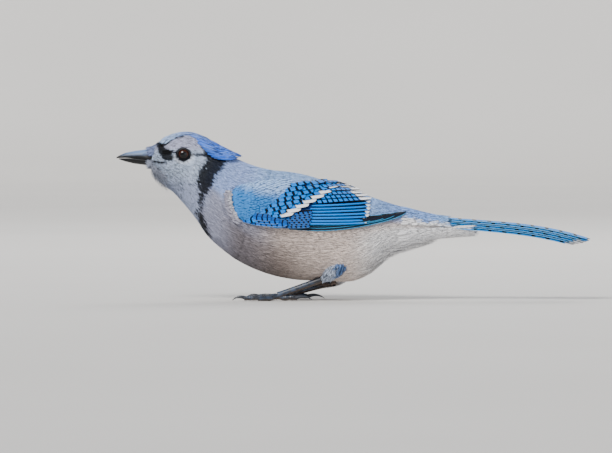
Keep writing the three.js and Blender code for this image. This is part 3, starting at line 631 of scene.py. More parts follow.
WING_ROWS = [  # name, finish, count, shaft's start and end for the lowest feather and the highest,
    # lifts, bow, width, tilt, rows, and how much higher each next feather lies
    ("primaries", primary_finish, 4, [(-38, 43.8), (-34, 48.0)], [(30.6, 51.7), (10.5, 47.8)],
     (0.8, 1.7), (2.9, 0.2), 4.3, 12, 16, 0.25),
    ("secondaries", secondary_finish, 7, [(-37, 47.4), (-32, 57.0)], [(8.2, 46.8), (9.6, 57.2)],
     (2.0, 2.2), (0.2, 0.2), 4.2, 20, 14, 0.0),
    ("tertials", tertial_finish, 6, [(-30, 58.0), (-24, 67.8)], [(9.6, 58.6), (-2.0, 66.6)],
     (2.4, 2.9), (-0.4, -0.6), 4.6, 17, 14, 0.1),
    ("primary_coverts", hand_finish, 7, [(-43, 44.8), (-43, 51.4)], [(-25.4, 44.9), (-24.4, 52.6)],
     (2.0, 2.8), (0, 0), 3.2, 20, 10, 0.0),
    ("greater_coverts", greater_finish, 8, [(-51, 50.2), (-24, 66.8)], [(-34.8, 52.4), (-5.6, 67.9)],
     (2.3, 3.2), (0, 0), 4.8, 17, 12, 0.0),
    ("median_coverts", median_finish, 8, [(-56, 49.4), (-31, 67.2)], [(-43.5, 51.2), (-17, 68.6)],
     (2.6, 3.5), (0, 0), 4.4, 15, 9, 0.0),
    ("marginal_coverts", median_finish, 8, [(-63, 47.8), (-40, 66.4)], [(-50.6, 49.6), (-26.4, 67.8)],
     (2.7, 3.9), (0, 0), 4.0, 14, 9, 0.0),
    ("alula", alula_finish, 3, [(-65, 48.4), (-61, 50.6)], [(-38.0, 46.1), (-48, 49.2)],
     (2.4, 4.0), (0.5, 0.2), 4.6, 10, 12, 0.45),
]
for side, hand in ((-1, "left"), (1, "right")):
    for name, finish, count, starts, ends, lift, bow, width, tilt, rows, step in WING_ROWS:
        blades = []
        for i in range(count):
            t = i / (count - 1)
            start = np.array(starts[0]) * (1 - t) + np.array(starts[1]) * t
            end = np.array(ends[0]) * (1 - t) + np.array(ends[1]) * t + rng.normal(0, 0.25, 2) * [1, 0.3]
            lifts = np.array(lift) + i * step
            spine = side_spine(start, end, lifts, bow[0] * (1 - t) + bow[1] * t, tilt, rows, side)
            blades.append(blade(*spine, width * rng.uniform(0.95, 1.05)))
        feathers = group_of(blades, f"{name}_{hand}", finish)
        if name == "primaries":
            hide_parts(f"wing_{hand}")

WING_BASE = np.array([  # low x, low z, high x, high z, lift
    (-70.6, 53.0, -72.6, 63.0, 0.4),
    (-67.4, 49.4, -67.6, 67.8, 2.0),
    (-58.0, 45.4, -54.0, 70.5, 2.5),
    (-46.0, 43.2, -42.0, 71.4, 2.5),
    (-32.0, 42.8, -28.0, 70.0, 2.2),
    (-18.0, 43.4, -14.0, 67.0, 1.7),
])


PAD_ROWS, PAD_COLUMNS, PAD_DEPTH = 46, 40, 2.2


def shoulder(side):
    """The surface of the wing's base: a runs back from its front edge, b up from its lower edge."""
    def place(a, b):
        a, b = np.broadcast_arrays(np.asarray(a, float), np.asarray(b, float))
        t = np.clip(a, 0, 5)
        i = np.minimum(t.astype(int), 4)
        u = (t - i)[..., None]
        row = WING_BASE[i] * (1 - u) + WING_BASE[i + 1] * u
        v = np.clip(b / 100, -0.1, 1.1)
        lift = 0.2 + (row[..., 4] - 0.2) * np.sqrt(np.clip(np.sin(np.pi * np.clip(v, 0, 1)), 0, 1))
        x = row[..., 0] * (1 - v) + row[..., 2] * v
        z = row[..., 1] * (1 - v) + row[..., 3] * v
        return from_side(x, z, lift, side)[0]
    return place


def wing_tint(x, z, count):
    """Steel blue on the shoulder, bluer toward the rows of coverts, pale where the scapulars lie over."""
    lower = smooth(1, 15, (x + 66) * 0.55 + (60 - z) * 0.55)
    color = blend(np.broadcast_to(SHOULDER, (count, 3)), paint("#2f7fcf"), lower * 0.8)
    color = blend(color, MANTLE, smooth(59, 66, z + 0.12 * (x + 50)))
    color = blend(color, NAVY, smooth(-42, -37, x) * smooth(61, 58, z))
    return blend(color, paint("#dfe1ec"), smooth(-72.6, -73.8, x) * 0.5)


def from_top(place, top):
    """The same surface with b counted from top down, so that tufts on the right side face outward."""
    def turned(a, b):
        return place(a, top - np.asarray(b))
    return turned


def pad_faces():
    """The faces of a closed pad: its outer sheet, its inner sheet, and the rim that joins them."""
    r, c = np.meshgrid(np.arange(PAD_ROWS - 1), np.arange(PAD_COLUMNS - 1), indexing="ij")
    q = (r * PAD_COLUMNS + c).ravel()
    quads = np.stack([q, q + 1, q + 1 + PAD_COLUMNS, q + PAD_COLUMNS], -1)
    last_row, last_column, inner = PAD_ROWS - 1, PAD_COLUMNS - 1, PAD_ROWS * PAD_COLUMNS
    edge = np.concatenate([np.arange(PAD_COLUMNS), np.arange(1, PAD_ROWS) * PAD_COLUMNS + last_column,
                           last_row * PAD_COLUMNS + np.arange(last_column)[::-1],
                           np.arange(1, last_row)[::-1] * PAD_COLUMNS])
    ahead = np.roll(edge, -1)
    rim = np.stack([edge, ahead, ahead + inner, edge + inner], -1)
    return np.concatenate([quads[:, ::-1], quads + inner, rim])


COVERT_GAP = 0.17
for side, hand in ((-1, "left"), (1, "right")):
    place = shoulder(side)
    a, b = np.meshgrid(np.linspace(0, 5, PAD_ROWS), np.linspace(0, 100, PAD_COLUMNS), indexing="ij")
    base = place(a, b).reshape(-1, 3)
    inner = base - [0, side * PAD_DEPTH, 0]
    tint = wing_tint(base[:, 0], base[:, 2], len(base))
    pad = piece(f"shoulder_{hand}", np.concatenate([base, inner]), pad_faces()[:, ::-side], coat_finish,
                np.concatenate([tint, tint]))
    ra, rb = np.meshgrid(np.arange(0.05, 3.4, COVERT_GAP), np.arange(3, 99, 5.2), indexing="ij")
    rb = (rb + 2.6 * (np.round(ra / COVERT_GAP) % 2) + rng.uniform(-0.8, 0.8, ra.shape)).ravel()
    ra = (ra + rng.uniform(-0.04, 0.04, ra.shape)).ravel()
    spot = place(ra, rb)
    line = spot[:, 2] - np.interp(spot[:, 0], [-66, -60, -38, -12], [44, 48, 66.0, 71])
    keep = (line > -1.0) | (spot[:, 0] < -58)
    ra, rb, spot = ra[keep], rb[keep], spot[keep]
    if side > 0:
        place, rb = from_top(place, 100), 100 - rb
    tint = wing_tint(spot[:, 0], spot[:, 2], len(spot))
    tufts(f"lesser_coverts_{hand}", place, ra, rb, 5.4, 2.3, 0.75, tint=tint,
          sway=rng.normal(0, 0.08, len(ra)), flat=0.1, ends=((0, 5), (0, 100)))


def flank(side):
    """The body under a point of the side view: a is its x and b its z."""
    def place(a, b):
        return from_side(a, b, 0.0, side)[0]
    return place


for side, hand in ((-1, "left"), (1, "right")):
    count = 260
    fz = rng.uniform(47.5, 65.5, count)
    reach = rng.uniform(3.2, 5.6, count)
    ahead = 0.7 + 2.6 * rng.uniform(0, 1, count) ** 1.6
    fx = np.interp(fz, [48, 54, 60, 65], [-66.4, -69.6, -71.6, -71.4]) - reach * 0.55 - ahead
    pale = rng.uniform(0.2, 1, count) * smooth(3.0, 0.8, ahead) * smooth(47, 52, fz)
    tint = blend(np.broadcast_to(paint("#b3b1c2"), (count, 3)), WHITE, pale)
    place = flank(side)
    if side > 0:
        place, fz = from_top(place, 120), 120 - fz
    rise = rng.uniform(1.0, 2.4, count)
    tufts(f"shoulder_fluff_{hand}", place, fx, fz, reach, 0.85, rise,
          tint=tint, sway=rng.normal(-0.35, 0.2, count) * -side, ends=((-80, -60), (40, 80)))


# The tail: six pairs of long stiff feathers folded one under the next, the middle pair on top, with the
# soft coverts of the rump over their roots and long white coverts beneath.
TAIL_ROOT, TAIL_TIP = np.array([39.0, 50.6]), np.array([140.3, 36.6])
ARCH, CAMBER, TAIL_WIDTH = 3.0, 0.012, 15.0
tail_finish = blade_finish("tail_feathers", paint("#0c93ee"), paint("#0b6ac8"), bar_gap=8.6, bar_width=0.22,
                           rim=paint("#86c6f2"), rim_at=0.95, both=True)
tail_side_finish = blade_finish("tail_outer", paint("#0c93ee"), paint("#26323f"), bar_gap=8.6,
                                bar_width=0.22, rim=paint("#74bcf0"), rim_at=0.96, white=7.0, split_at=0.1)
TAIL_PARTS = [("tail_middle", tail_finish, (0, 1)), ("tail_sides", tail_side_finish, (2, 3, 4, 5))]
for name, finish, pairs in TAIL_PARTS:
    blades = []
    for pair in pairs:
        for side in (-1, 1):
            t = 1 - (1 - np.linspace(0, 1, 23)) ** 1.3
            run, drop = TAIL_TIP - TAIL_ROOT
            share = t * (run - 0.75 * pair**1.55) / run
            seam = 1.1 if pair % 2 == 0 else -1.1
            inner, outer = side * seam + 0.15, 9.4 + 1.15 * pair
            half = (outer - inner) / 2 * (0.42 + 0.58 * t**0.8)
            y = side * (inner + half)
            z = TAIL_ROOT[1] + drop * share + ARCH * np.sin(np.pi * share**1.6)
            z = z - pair * 0.92 - CAMBER * y * y
            points = np.stack([TAIL_ROOT[0] + run * share, y, z], -1)
            across = unit(np.stack([0 * y, np.ones_like(y), -2 * CAMBER * y], -1)) * side
            out = unit(np.stack([0.127 + 0 * y, 2 * CAMBER * y, np.ones_like(y)], -1))
            across = across * (half / (TAIL_WIDTH / 2))[:, None]
            blades.append(blade(points, across, out, TAIL_WIDTH, thick=0.35, columns=8, root=1.0, tip=0.93,
                                curl=0.1))
    feathers = group_of(blades, name, finish)
    if name == "tail_middle":
        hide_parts("tail")


RUMP_END = 18.4


def rump(s, angle):
    """The body's end carried on over the folded tail, from station RUMP_END."""
    s = np.asarray(s, float)
    beyond = np.clip(s - RUMP_END, 0, None)
    point = body(np.minimum(s, RUMP_END), angle)
    back = np.stack([12.4 * beyond, -point[..., 1] * 0.08 * beyond, -1.2 * beyond], -1)
    lower = np.where(np.sin(np.radians(angle)) < 0, 2.1, 0.0) * beyond
    back[..., 2] += lower
    return point + back


def coverts_tint(point, under):
    """Blue above with a white edge, and near white under the tail."""
    x, z = point[:, 0], point[:, 2] + rng.normal(0, 0.5, len(point))
    blue = blend(np.broadcast_to(RUMP, point.shape), paint("#7fb0da"), smooth(38, 60, x))
    blue = blend(blue, VENT, smooth(1.2, -1.2, z - np.interp(x, [24, 36, 60], [50.0, 47.2, 44.4])))
    return np.where(under[:, None], np.broadcast_to(paint("#f1f0f0"), point.shape), blue)


for name, span, angles, length in (("coverts_above", (16.6, 18.5), (14, 166), 7.0),
                                   ("coverts_below", (16.4, 19.6), (-172, -8), 10.0)):
    rs, ra = np.meshgrid(np.arange(*span, COVERT_GAP), np.linspace(*angles, 24), indexing="ij")
    rs = (rs + rng.uniform(-0.06, 0.06, rs.shape)).ravel()
    ra = (ra + rng.uniform(-2.5, 2.5, ra.shape)).ravel()
    root = rump(rs, ra)
    tufts(name, rump, rs, ra, length + rng.uniform(-1, 1.5, len(rs)), 2.0, 0.8,
          tint=coverts_tint(root, ra < 0), sway=rng.normal(0, 0.07, len(rs)), flat=0.1,
          ends=((16, 20), (-180, 180)))


# The crest: long narrow feathers that lie back along the crown in overlapping rows and meet in a point
# behind, pale over the forehead and deep streaked blue at the tip.
def crest_place(s, angle):
    """The crown's surface, drawn together and raised toward the crest's point."""
    s = np.asarray(s, float)
    gather = 90 + (np.asarray(angle, float) - 90) * (1 - 0.62 * smooth(5.0, 8.6, s))
    raised = 2.4 * smooth(3.6, 7.4, s) * smooth(9.4, 7.8, s) * (1 - 0.5 * np.abs(gather - 90) / 60)
    return body(s, gather, raised)


count = 1300
cs = 1.2 + 5.4 * rng.uniform(0, 1, count) ** 0.85
ca = 90 + rng.uniform(-1, 1, count) * (44 + 20 * smooth(2, 6, cs))
reach = 4.0 + 9.0 * smooth(1.0, 5.0, cs)
root = crest_place(cs, ca)
over = root[:, 2] - np.interp(root[:, 0], CREST_EDGE[:, 0], CREST_EDGE[:, 1])
keep = over > np.where(cs > 4.4, -1.2, 0.5)
cs, ca, reach = cs[keep], ca[keep], reach[keep]
count = len(cs)
crest_tint = blend(CROWN_FRONT, CROWN_BACK, smooth(1.6, 5.2, cs) * rng.uniform(0.75, 1.0, count))
pale = rng.uniform(0, 0.6, count) * (rng.uniform(0, 1, count) > 0.6)
crest_tint = blend(crest_tint, paint("#8fb2f4"), pale)
crest_tint = blend(crest_tint, paint("#0a1c4a"), 0.7 * (rng.uniform(0, 1, count) > 0.86))
reach = reach * (1 - 0.25 * np.abs(ca - 90) / 64)
tufts("crest", crest_place, cs, ca, reach, 1.1 + 0.5 * smooth(2, 6, cs),
      0.7 + rng.uniform(0, 0.6, count), tint=crest_tint, sway=rng.normal(0, 0.05, count), flat=0.14)


# The eyes: dark wet balls set into the head, each with a brown iris round a black pupil, ringed by the
# thin black rims of the two lids.
eye_finish, tree, shader = finish_named("eye", 0.08, Coat_Weight=0.3, Coat_Roughness=0.02,
                                        Specular_IOR_Level=0.2)
ring = tree.node("ShaderNodeSeparateXYZ", i0=tree.attribute("Blade", 1))
iris = (tree.noise(900.0) * 0.8).mix(paint("#28120a"), paint("#45200f"))
dark = ring.step(2.1, 1.9).mix(iris, paint("#050506"))
feed(shader, tree, "Base Color", ring.step(3.1, 3.5).mix(dark, paint("#0b0a0b")))
lid_finish, tree, shader = finish_named("lids", 0.55)
bumps = tree.noise(2200.0)
feed(shader, tree, "Base Color", (bumps * 0.8).mix(paint("#111216"), paint("#2a2c33")))
feed_bump(shader, tree, bumps, 0.5)
EYE_RADIUS, EYE_CENTRE = 4.1, 10.1
LID_RADIUS, LID_OUT, LID_THICK = 3.85, 12.9, 0.42


def lids(side):
    """The two lids as one knobbly ring round the eye: its points and faces."""
    long, short = 64, 10
    turn, tube = np.meshgrid(np.arange(long) * 2 * math.pi / long, np.arange(short) * 2 * math.pi / short,
                             indexing="ij")
    thick = LID_THICK + 0.12 * np.abs(np.sin(turn)) + 0.03 * np.sin(turn * 22)
    wide = LID_RADIUS + thick * np.cos(tube)
    y = side * (LID_OUT + thick * np.sin(tube) - 0.25 * np.cos(turn) ** 2)
    points = np.stack([wide * np.cos(turn) * 1.03, y, wide * np.sin(turn) * 0.93], -1)
    r, c = np.meshgrid(np.arange(long), np.arange(short), indexing="ij")
    here, next_row = r * short, (r + 1) % long * short
    next_c = (c + 1) % short
    faces = np.stack([here + c, here + next_c, next_row + next_c, next_row + c], -1)
    return points.reshape(-1, 3) + [EYE[0], 0, EYE[1]], faces.reshape(-1, 4)[:, ::side]


for side, hand in ((-1, "left"), (1, "right")):
    u, v = round_grid(36, 48, 2 * math.pi, 0.02, math.pi - 0.02)
    ball = np.stack([np.sin(u) * np.cos(v), np.cos(u) * side, np.sin(u) * np.sin(v)], -1) * EYE_RADIUS
    points = ball.reshape(-1, 3) + [EYE[0], side * EYE_CENTRE, EYE[1]]
    off = np.hypot(points[:, 0] - EYE[0], points[:, 2] - EYE[1])
    off = np.where(side * points[:, 1] > EYE_CENTRE, off, 9.0)
    ball = piece(f"eyeball_{hand}", points, tube_faces(36, 48), eye_finish,
                 layers={"Blade": np.stack([off, off, off], -1)}, flip=side > 0)
    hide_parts(f"eye_{hand}")
    piece(f"lids_{hand}", *lids(side), lid_finish)


# The bill: two halves of smooth dark horn, the upper one ending in a slight hook, with a slit of a
# nostril on each side that stiff little feathers half cover.
bill_finish, tree, shader = finish_named("bill_horn", 0.4, Coat_Weight=0.08, Coat_Roughness=0.25,
                                         Specular_IOR_Level=0.3)
height = tree.node("ShaderNodeSeparateXYZ", i0=tree.node("ShaderNodeTexCoord", out=3)).output(2)
grain = tree.noise(500.0, 4.0)
# painted highlight: the top of the upper mandible is blue grey, a painted sheen over the dark horn, which is
# near black below
top = (height + grain * 0.001).step(0.0855, 0.0885)
feed(shader, tree, "Base Color", top.mix(paint("#08090c"), paint("#6b87b0")))
feed(shader, tree, "Roughness", grain * 0.25 + 0.3)
feed_bump(shader, tree, grain, 0.15)
BASE_LEAN = 1.6 / 11.6
BILL_ROWS, BILL_SIDES = 60, 32
NOSTRIL = (-122.4, 86.6)
# Each half from the face to its tip: x, top z, bottom z, half width.
UPPER = np.array([(-113.0, 91.4, 82.2, 4.9), (-118.7, 90.3, 82.5, 4.8), (-123.4, 89.2, 83.5, 4.0),
                  (-129.1, 88.5, 84.2, 3.1), (-134.6, 87.4, 84.5, 2.1), (-138.2, 85.9, 84.3, 1.15),
                  (-139.8, 85.0, 84.1, 0.6), (-140.4, 84.6, 84.1, 0.2)])
LOWER = np.array([(-113.0, 82.0, 79.4, 4.4), (-118.7, 82.1, 79.8, 4.2), (-124.0, 83.2, 80.2, 3.5),
                  (-129.4, 83.8, 80.9, 2.7), (-134.6, 84.0, 82.1, 1.7), (-138.4, 83.95, 83.3, 0.6),
                  (-138.9, 83.9, 83.5, 0.3)])


def bill_half(table, upper):
    """One half of the bill: rounded on its outer side, nearly flat where it meets the other half."""
    t = np.linspace(0, len(table) - 1, BILL_ROWS)
    rows = np.stack([np.interp(t, np.arange(len(table)), table[:, k]) for k in range(4)], -1)
    for _ in range(3):
        rows[1:-1] = (rows[:-2] + 2 * rows[1:-1] + rows[2:]) / 4
    turn = np.linspace(0, 2 * math.pi, BILL_SIDES + 1)[:-1]
    ring = np.sin(turn)
    away = np.abs(ring) ** 0.8
    far, near = (rows[:, 1], rows[:, 2]) if upper else (rows[:, 2], rows[:, 1])
    bulge = np.where(ring >= 0, away, -0.06 * away)
    z = near[:, None] + (far - near)[:, None] * bulge[None]
    y = rows[:, 3][:, None] * np.cos(turn)[None]
    x = rows[:, 0][:, None] + BASE_LEAN * (z - 91) * np.linspace(1, 0, BILL_ROWS)[:, None]
    if upper:
        for side in (-1, 1):
            pit = np.exp(-((x - NOSTRIL[0]) / 1.6) ** 2 - ((z - NOSTRIL[1]) / 0.6) ** 2) * (side * y > 0)
            y = y - side * 0.9 * pit
    return np.stack([x, y, z], -1).reshape(-1, 3)


for name, table, node in (("upper_mandible", UPPER, "bill_upper"), ("lower_mandible", LOWER, "bill_lower")):
    upper = table is UPPER
    horn = piece(name, bill_half(table, upper), tube_faces(BILL_ROWS, BILL_SIDES), bill_finish, flip=upper)
    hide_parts(node)


def muzzle(a, b):
    """Round the base of the bill: a runs forward from the face, b from its left side down under it."""
    a, b = np.broadcast_arrays(np.asarray(a, float), np.asarray(b, float))
    ahead = [0, 4, 7, 14]
    half = np.interp(a, ahead, [8.0, 6.4, 5.1, 3.6])
    top = np.interp(a, ahead, [94.6, 92.4, 90.6, 89.2])
    low = np.interp(a, ahead, [75.5, 78.4, 79.6, 80.6])
    angle = np.radians(b)
    z = (top + low) / 2 - (top - low) / 2 * np.sin(angle)
    return np.stack([-112.0 - a, -half * np.cos(angle), z], -1)


def bristle_tint(color, count, share, dark, pale):
    """One colour in many shades, a share of the bristles dark and the rest pale."""
    chosen = rng.uniform(0, 1, (count, 1)) < share
    shade = np.where(chosen, rng.uniform(*dark, (count, 1)), rng.uniform(*pale, (count, 1)))
    return paint(color) * shade


BRISTLE_WIDTH = 0.34
for name, angles, count, color, long, high in (("nasal_bristles", (-84, -8), 420, "#a2b3e2", 5.2, 1.1),
                                               ("chin_bristles", (22, 88), 520, "#c3cbe0", 5.0, 2.6)):
    for side, hand in ((0, "left"), (1, "right")):
        ba = rng.uniform(2.0, 7.2, count)
        bb = rng.uniform(*angles, count)
        bb = bb if side == 0 else 180 - bb
        tint = bristle_tint(color, count, 0.3, (0.05, 0.35), (0.7, 1.1))
        reach = long * rng.uniform(0.55, 1.0, count)
        rise = rng.uniform(0.4, high, count)
        tufts(f"{name}_{hand}", muzzle, ba, bb, reach, BRISTLE_WIDTH, rise,
              tint=tint, sway=rng.normal(0, 0.22, count), ends=((0, 14), (-180, 180)))

count = 900
ws = rng.uniform(0.1, 2.5, count)
wa = rng.uniform(-150, -30, count)
tint = bristle_tint("#c6cde0", count, 0.35, (0.05, 0.4), (0.75, 1.05))
tufts("chin_whiskers", body, ws, wa, rng.uniform(3.5, 6.5, count), BRISTLE_WIDTH,
      rng.uniform(0.5, 3.4, count), tint=tint, sway=rng.normal(0, 0.2, count))


# The legs: a feathered cuff at the belly, a straight shank with a row of overlapping scutes down its
# front, and four toes ringed with scutes, padded below, each with a smooth hooked claw.
leg_finish, tree, shader = finish_named("leg_scutes", 0.36, Coat_Weight=0.3, Coat_Roughness=0.2)
mottle = tree.noise(260.0, 4.0)
fine = tree.node("ShaderNodeTexVoronoi", i0=tree.node("ShaderNodeTexCoord", out=3), Scale=1500.0)
groove = tree.node("ShaderNodeSeparateXYZ", i0=tree.attribute("Blade", 1))
under = groove.output(1)
color = mottle.step(0.35, 0.65).mix(paint("#161b26"), paint("#33435a"))
# painted reflection: brown along the underside of shanks and toes, standing in for warm light thrown up from
# below
color = under.step(0.2, 0.9).mix(color, paint("#3d3027"))
feed(shader, tree, "Base Color", groove.mix(color, paint("#0d0e11")))
feed(shader, tree, "Roughness", mottle * 0.3 + 0.3)
feed_bump(shader, tree, fine, 0.35)
claw_finish, tree, shader = finish_named("claw_horn", 0.25, Coat_Weight=0.3, Coat_Roughness=0.15)
grain = tree.noise(600.0, 3.0)
feed(shader, tree, "Base Color", (grain * 0.9).mix(paint("#0f1014"), paint("#3a414d")))
feed(shader, tree, "Roughness", grain * 0.2 + 0.2)

ANKLES = {"left": (-12.6, -11.5, 13.8), "right": (-14.6, 11.5, 8.6)}
FEET = {"left": (-45.2, -13.0, 3.1), "right": (-37.8, 13.0, 3.1)}
TOES = {  # turn from straight ahead, length, radius, claw
    "middle": (-2, 19, 1.7, 7.5),
    "inner": (27, 12.5, 1.55, 6.5),
    "outer": (-30, 13.5, 1.55, 6.5),
    "hind": (176, 11.5, 1.8, 9.5),
}
CUFFS = {  # the line of the cuff's middle from the flank to the ankle, and its radius at five places
    "left": ([(-9.0, 12.0, 25.0), (-8.5, 19.5, 19.0), (-14.6, 11.5, 13.2)], [5.0, 6.2, 5.4, 3.4, 2.7]),
    "right": ([(-6.0, 11.0, 20.0), (-5.5, 17.0, 9.0), (-16.0, 11.5, 8.2)], [5.0, 5.2, 4.2, 2.9, 2.4]),
}


def bezier(points, t):
    """A smooth line from the first point to the last, drawn toward those between."""
    points = [np.asarray(p, float) for p in points]
    t = np.asarray(t)[:, None]
    while len(points) > 1:
        points = [p * (1 - t) + q * t for p, q in zip(points[:-1], points[1:])]
    return points[0]


def limb(name, spine, radius, scutes, material, node, sides=20, relief=0.1):
    """A round limb with scutes: the radius drops at the end of each, deepest on the front and top."""
    rows = len(spine)
    t = np.linspace(0, 1, rows)
    along = unit(np.gradient(spine, axis=0))
    across = unit(np.stack([-along[:, 1], along[:, 0], np.zeros(rows)], -1))
    up = unit(np.cross(along, across))
    up = up * np.sign(up[:, 2:3] + 1e-9)
    turn = np.arange(sides) * 2 * math.pi / sides
    phase = (t * scutes) % 1
    ledge = relief * (phase**0.7 - 0.5) if scutes else np.zeros(rows)
    upper = smooth(-0.6, 0.4, np.sin(turn))
    size = np.asarray(radius)[:, None] * (1 + ledge[:, None] * upper[None])
    points = spine[:, None] + across[:, None] * (size * np.cos(turn)[None])[..., None]
    points = points + up[:, None] * (size * np.sin(turn)[None])[..., None]
    points[..., 2] = np.maximum(points[..., 2], 0.02)
    dark = ((phase > 0.9) | (phase < 0.08)) if scutes else np.zeros(rows, bool)
    # under marks each limb's underside, where the legs' material paints a brown reflection
    grooves, under = dark[:, None] * upper[None] * 0.8, smooth(0.1, -0.8, np.sin(turn))[None]
    layer = np.stack(np.broadcast_arrays(grooves, under, 0.0 * size), -1)
    inside_out = np.sum(np.cross(across[0], up[0]) * along[0]) < 0
    made = piece(name, points.reshape(-1, 3), tube_faces(rows, sides), material,
                 layers={"Blade": layer.reshape(-1, 3)}, flip=inside_out)
    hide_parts(node)


def cuff(hand, out):
    """The surface of one cuff: a runs from the flank to the ankle and b round it."""
    line, girth = CUFFS[hand]
    top, bend, end = (np.array([x, out * y, z]) for x, y, z in line)

    def place(a, b):
        a, b = np.broadcast_arrays(np.asarray(a, float), np.asarray(b, float))
        t = np.clip(a, 0, 1.2)
        axis = top * ((1 - t) ** 2)[..., None] + bend * (2 * t * (1 - t))[..., None]
        axis = axis + end * (t**2)[..., None]
        size = np.interp(t, [0, 0.45, 0.75, 1.0, 1.2], girth)
        angle = np.radians(b)
        ring = np.stack([np.cos(angle), 0.85 * np.sin(angle), 0.25 * np.cos(angle)], -1)
        return axis + ring * size[..., None]
    return place


def cuff_tint(point, hand):
    """Blue grey with blue at the front on the left leg, pale outside and brown inside on the right."""
    x, y, z = point[:, 0], point[:, 1], point[:, 2]
    if hand == "left":
        color = np.broadcast_to(paint("#c3d0e6"), point.shape)
        return blend(color, paint("#3f72b4"), smooth(-11.0, -8.0, x) * smooth(14.5, 18, z) * 0.8)
    color = blend(np.broadcast_to(paint("#c9d0de"), point.shape), paint("#94837a"), smooth(15.5, 12.5, y))
    return blend(color, WHITE, smooth(-9, -6, x))


def toe_point(foot, ahead, along, height):
    """A point over the line of a toe, so far along it and so high over the floor."""
    return foot * [1, 1, 0] + ahead * along + [0, 0, height]


for hand, out in (("left", -1), ("right", 1)):
    ankle, foot = np.array(ANKLES[hand]), np.array(FEET[hand])
    t = np.linspace(0, 1, 90)
    knee = ankle + (ankle - foot) * 0.05 + [0, 0, 0.8]
    spine = bezier([knee, (ankle + foot) / 2 + [0, 0, 0.5], foot + [0.6, 0, 0]], t)
    radius = 1.78 + 0.4 * (1 - t) ** 3 + 0.35 * t**6
    limb(f"shank_{hand}", spine, radius, 9, leg_finish, f"tarsus_{hand}", relief=0.05)
    for toe, (turn, length, size, claw) in TOES.items():
        heading = math.radians(180 - out * turn - out * 6)
        ahead = np.array([math.cos(heading), math.sin(heading), 0])
        t = np.linspace(0, 1, 70)
        knots = np.array([toe_point(foot, ahead, along, height) for along, height in (
            (0.0, size + 1.2), (length * 0.36, size - 0.1), (length * 0.68, size + 0.2),
            (length + 0.4, size - 0.15))])
        spine = np.stack([np.interp(t, [0, 0.36, 0.68, 1], knots[:, k]) for k in range(3)], -1)
        for _ in range(30):
            spine[1:-1] = (spine[:-2] + 2 * spine[1:-1] + spine[2:]) / 4
        pads = 1 + 0.1 * np.sin(np.pi * 3 * t + 0.5) ** 2
        radius = size * (1 - 0.22 * t) * 0.92 * pads
        rings = {"middle": 13, "hind": 8}.get(toe, 9)
        limb(f"toe_{toe}_{hand}_scuted", spine, radius, rings, leg_finish, f"toe_{toe}_{hand}",
             relief=0.16)
        t = np.linspace(0, 1, 26)
        spine = bezier([toe_point(foot, ahead, along, height) for along, height in (
            (length - 0.6, size - 0.1), (length + claw * 0.55, size * 2.2), (length + claw, 0.3))], t)
        radius = size * 0.62 * (1 - t**1.3) + 0.08
        limb(f"claw_{toe}_{hand}_horn", spine, radius, 0, claw_finish, f"claw_{toe}_{hand}",
             sides=14)

    place = cuff(hand, out)
    points = place(*round_grid(24, 32, 360)).reshape(-1, 3)
    thigh = piece(f"cuff_{hand}", points, tube_faces(24, 32), coat_finish, cuff_tint(points, hand))
    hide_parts(f"thigh_{hand}")
    ra, rb = np.meshgrid(np.arange(0.1, 0.98, 0.045), np.arange(0, 360, 10.0), indexing="ij")
    ra = (ra + rng.uniform(-0.02, 0.02, ra.shape)).ravel()
    rb = (rb + rng.uniform(-4, 4, rb.shape)).ravel()
    reach = rng.uniform(3.0, 5.6, len(ra))
    rise = rng.uniform(0.3, 1.9, len(ra))
    tufts(f"cuff_feathers_{hand}", place, ra, rb, reach, 1.1, rise,
          tint=cuff_tint(place(ra, rb), hand), sway=rng.normal(0, 0.3, len(ra)), ends=((0, 1), (0, 360)),
          tone=rng.uniform(0.72, 1.1, len(ra)))


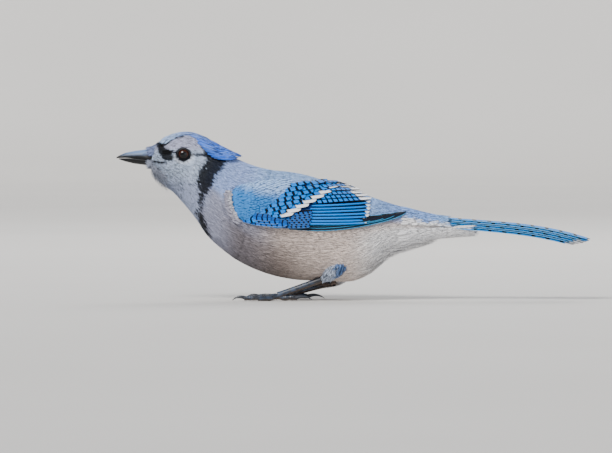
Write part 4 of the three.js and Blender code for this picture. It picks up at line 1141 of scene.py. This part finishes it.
# The stage: a pale floor that curves up into a plain backdrop, soft lights, and the camera level with the
# bird at its left side, as far off as a long lens stands.
bend = np.linspace(0.1, math.pi / 2, 12)
depth = [*np.linspace(-6.0, 4.0, 14), *(4.0 + 1.5 * np.sin(bend)), 5.5, 5.5]
rise = [*np.zeros(14), *(1.5 - 1.5 * np.cos(bend)), 2.6, 5.0]
sheet = bpy.data.meshes.new("floor")
sheet.from_pydata([(x, y, z) for y, z in zip(depth, rise) for x in (-7.0, 7.0)], [],
                  [(2 * i, 2 * i + 1, 2 * i + 3, 2 * i + 2) for i in range(len(depth) - 1)])
sheet.polygons.foreach_set("use_smooth", np.ones(len(sheet.polygons), bool))
floor = bpy.data.objects.new("floor", sheet)
bpy.context.scene.collection.objects.link(floor)
material, tree, shader = finish_named("pale_floor", 0.85)
feed(shader, tree, "Base Color", tree.noise(3.0).mix(paint("#c9c7c3"), paint("#d2d0cc")))
sheet.materials.append(material)

MIDDLE = Vector((-0.02, 0.0, 0.05))


def lamp(name, kind, place, power, spread, color):
    """A light that looks at the bird's middle; spread is a sun's angle or an area's size in metres."""
    light = bpy.data.lights.new(name, kind)
    light.energy, light.color = power, color
    if kind == "SUN":
        light.angle = spread
    else:
        light.size = spread
    made = bpy.data.objects.new(name, light)
    made.location = place
    made.rotation_euler = (MIDDLE - Vector(place)).to_track_quat("-Z", "Y").to_euler()
    bpy.context.scene.collection.objects.link(made)


lamp("key", "SUN", (-0.8, -1.3, 1.6), 3.7, 0.45, (1.0, 0.98, 0.95))
lamp("fill", "SUN", (1.2, -1.6, 0.25), 0.7, 0.9, (0.95, 0.97, 1.0))
lamp("back", "AREA", (0.3, 1.2, 1.2), 12, 0.9, (1.0, 1.0, 1.0))
world = bpy.data.worlds.new("studio")
bpy.context.scene.world = world
world.use_nodes = True
sky = world.node_tree.nodes["Background"]
sky.inputs["Color"].default_value = (0.86, 0.90, 1.0, 1)
sky.inputs["Strength"].default_value = 0.6

PHOTO_WIDTH, PHOTO_MIDDLE, PIXEL = 612, (306, 226.5), 0.593
ZERO_COLUMN, FLOOR_ROW = 353.25, 300
CAMERA_FAR, ELEVATION, SENSOR = 3.0, 1.5, 36
aim_x = (PHOTO_MIDDLE[0] - ZERO_COLUMN) * PIXEL + SHIFT
aim = Vector((aim_x, 0, (FLOOR_ROW - PHOTO_MIDDLE[1]) * PIXEL)) * MM
lens = bpy.data.cameras.new("camera")
lens.sensor_width = SENSOR
lens.lens = SENSOR * CAMERA_FAR / (PHOTO_WIDTH * PIXEL * MM)
lens.clip_end = 50
camera = bpy.data.objects.new("camera", lens)
angle = math.radians(ELEVATION)
camera.location = aim + Vector((0, -math.cos(angle), math.sin(angle))) * CAMERA_FAR
camera.rotation_euler = (math.pi / 2 - angle, 0, 0)
bpy.context.scene.collection.objects.link(camera)
bpy.context.scene.camera = camera
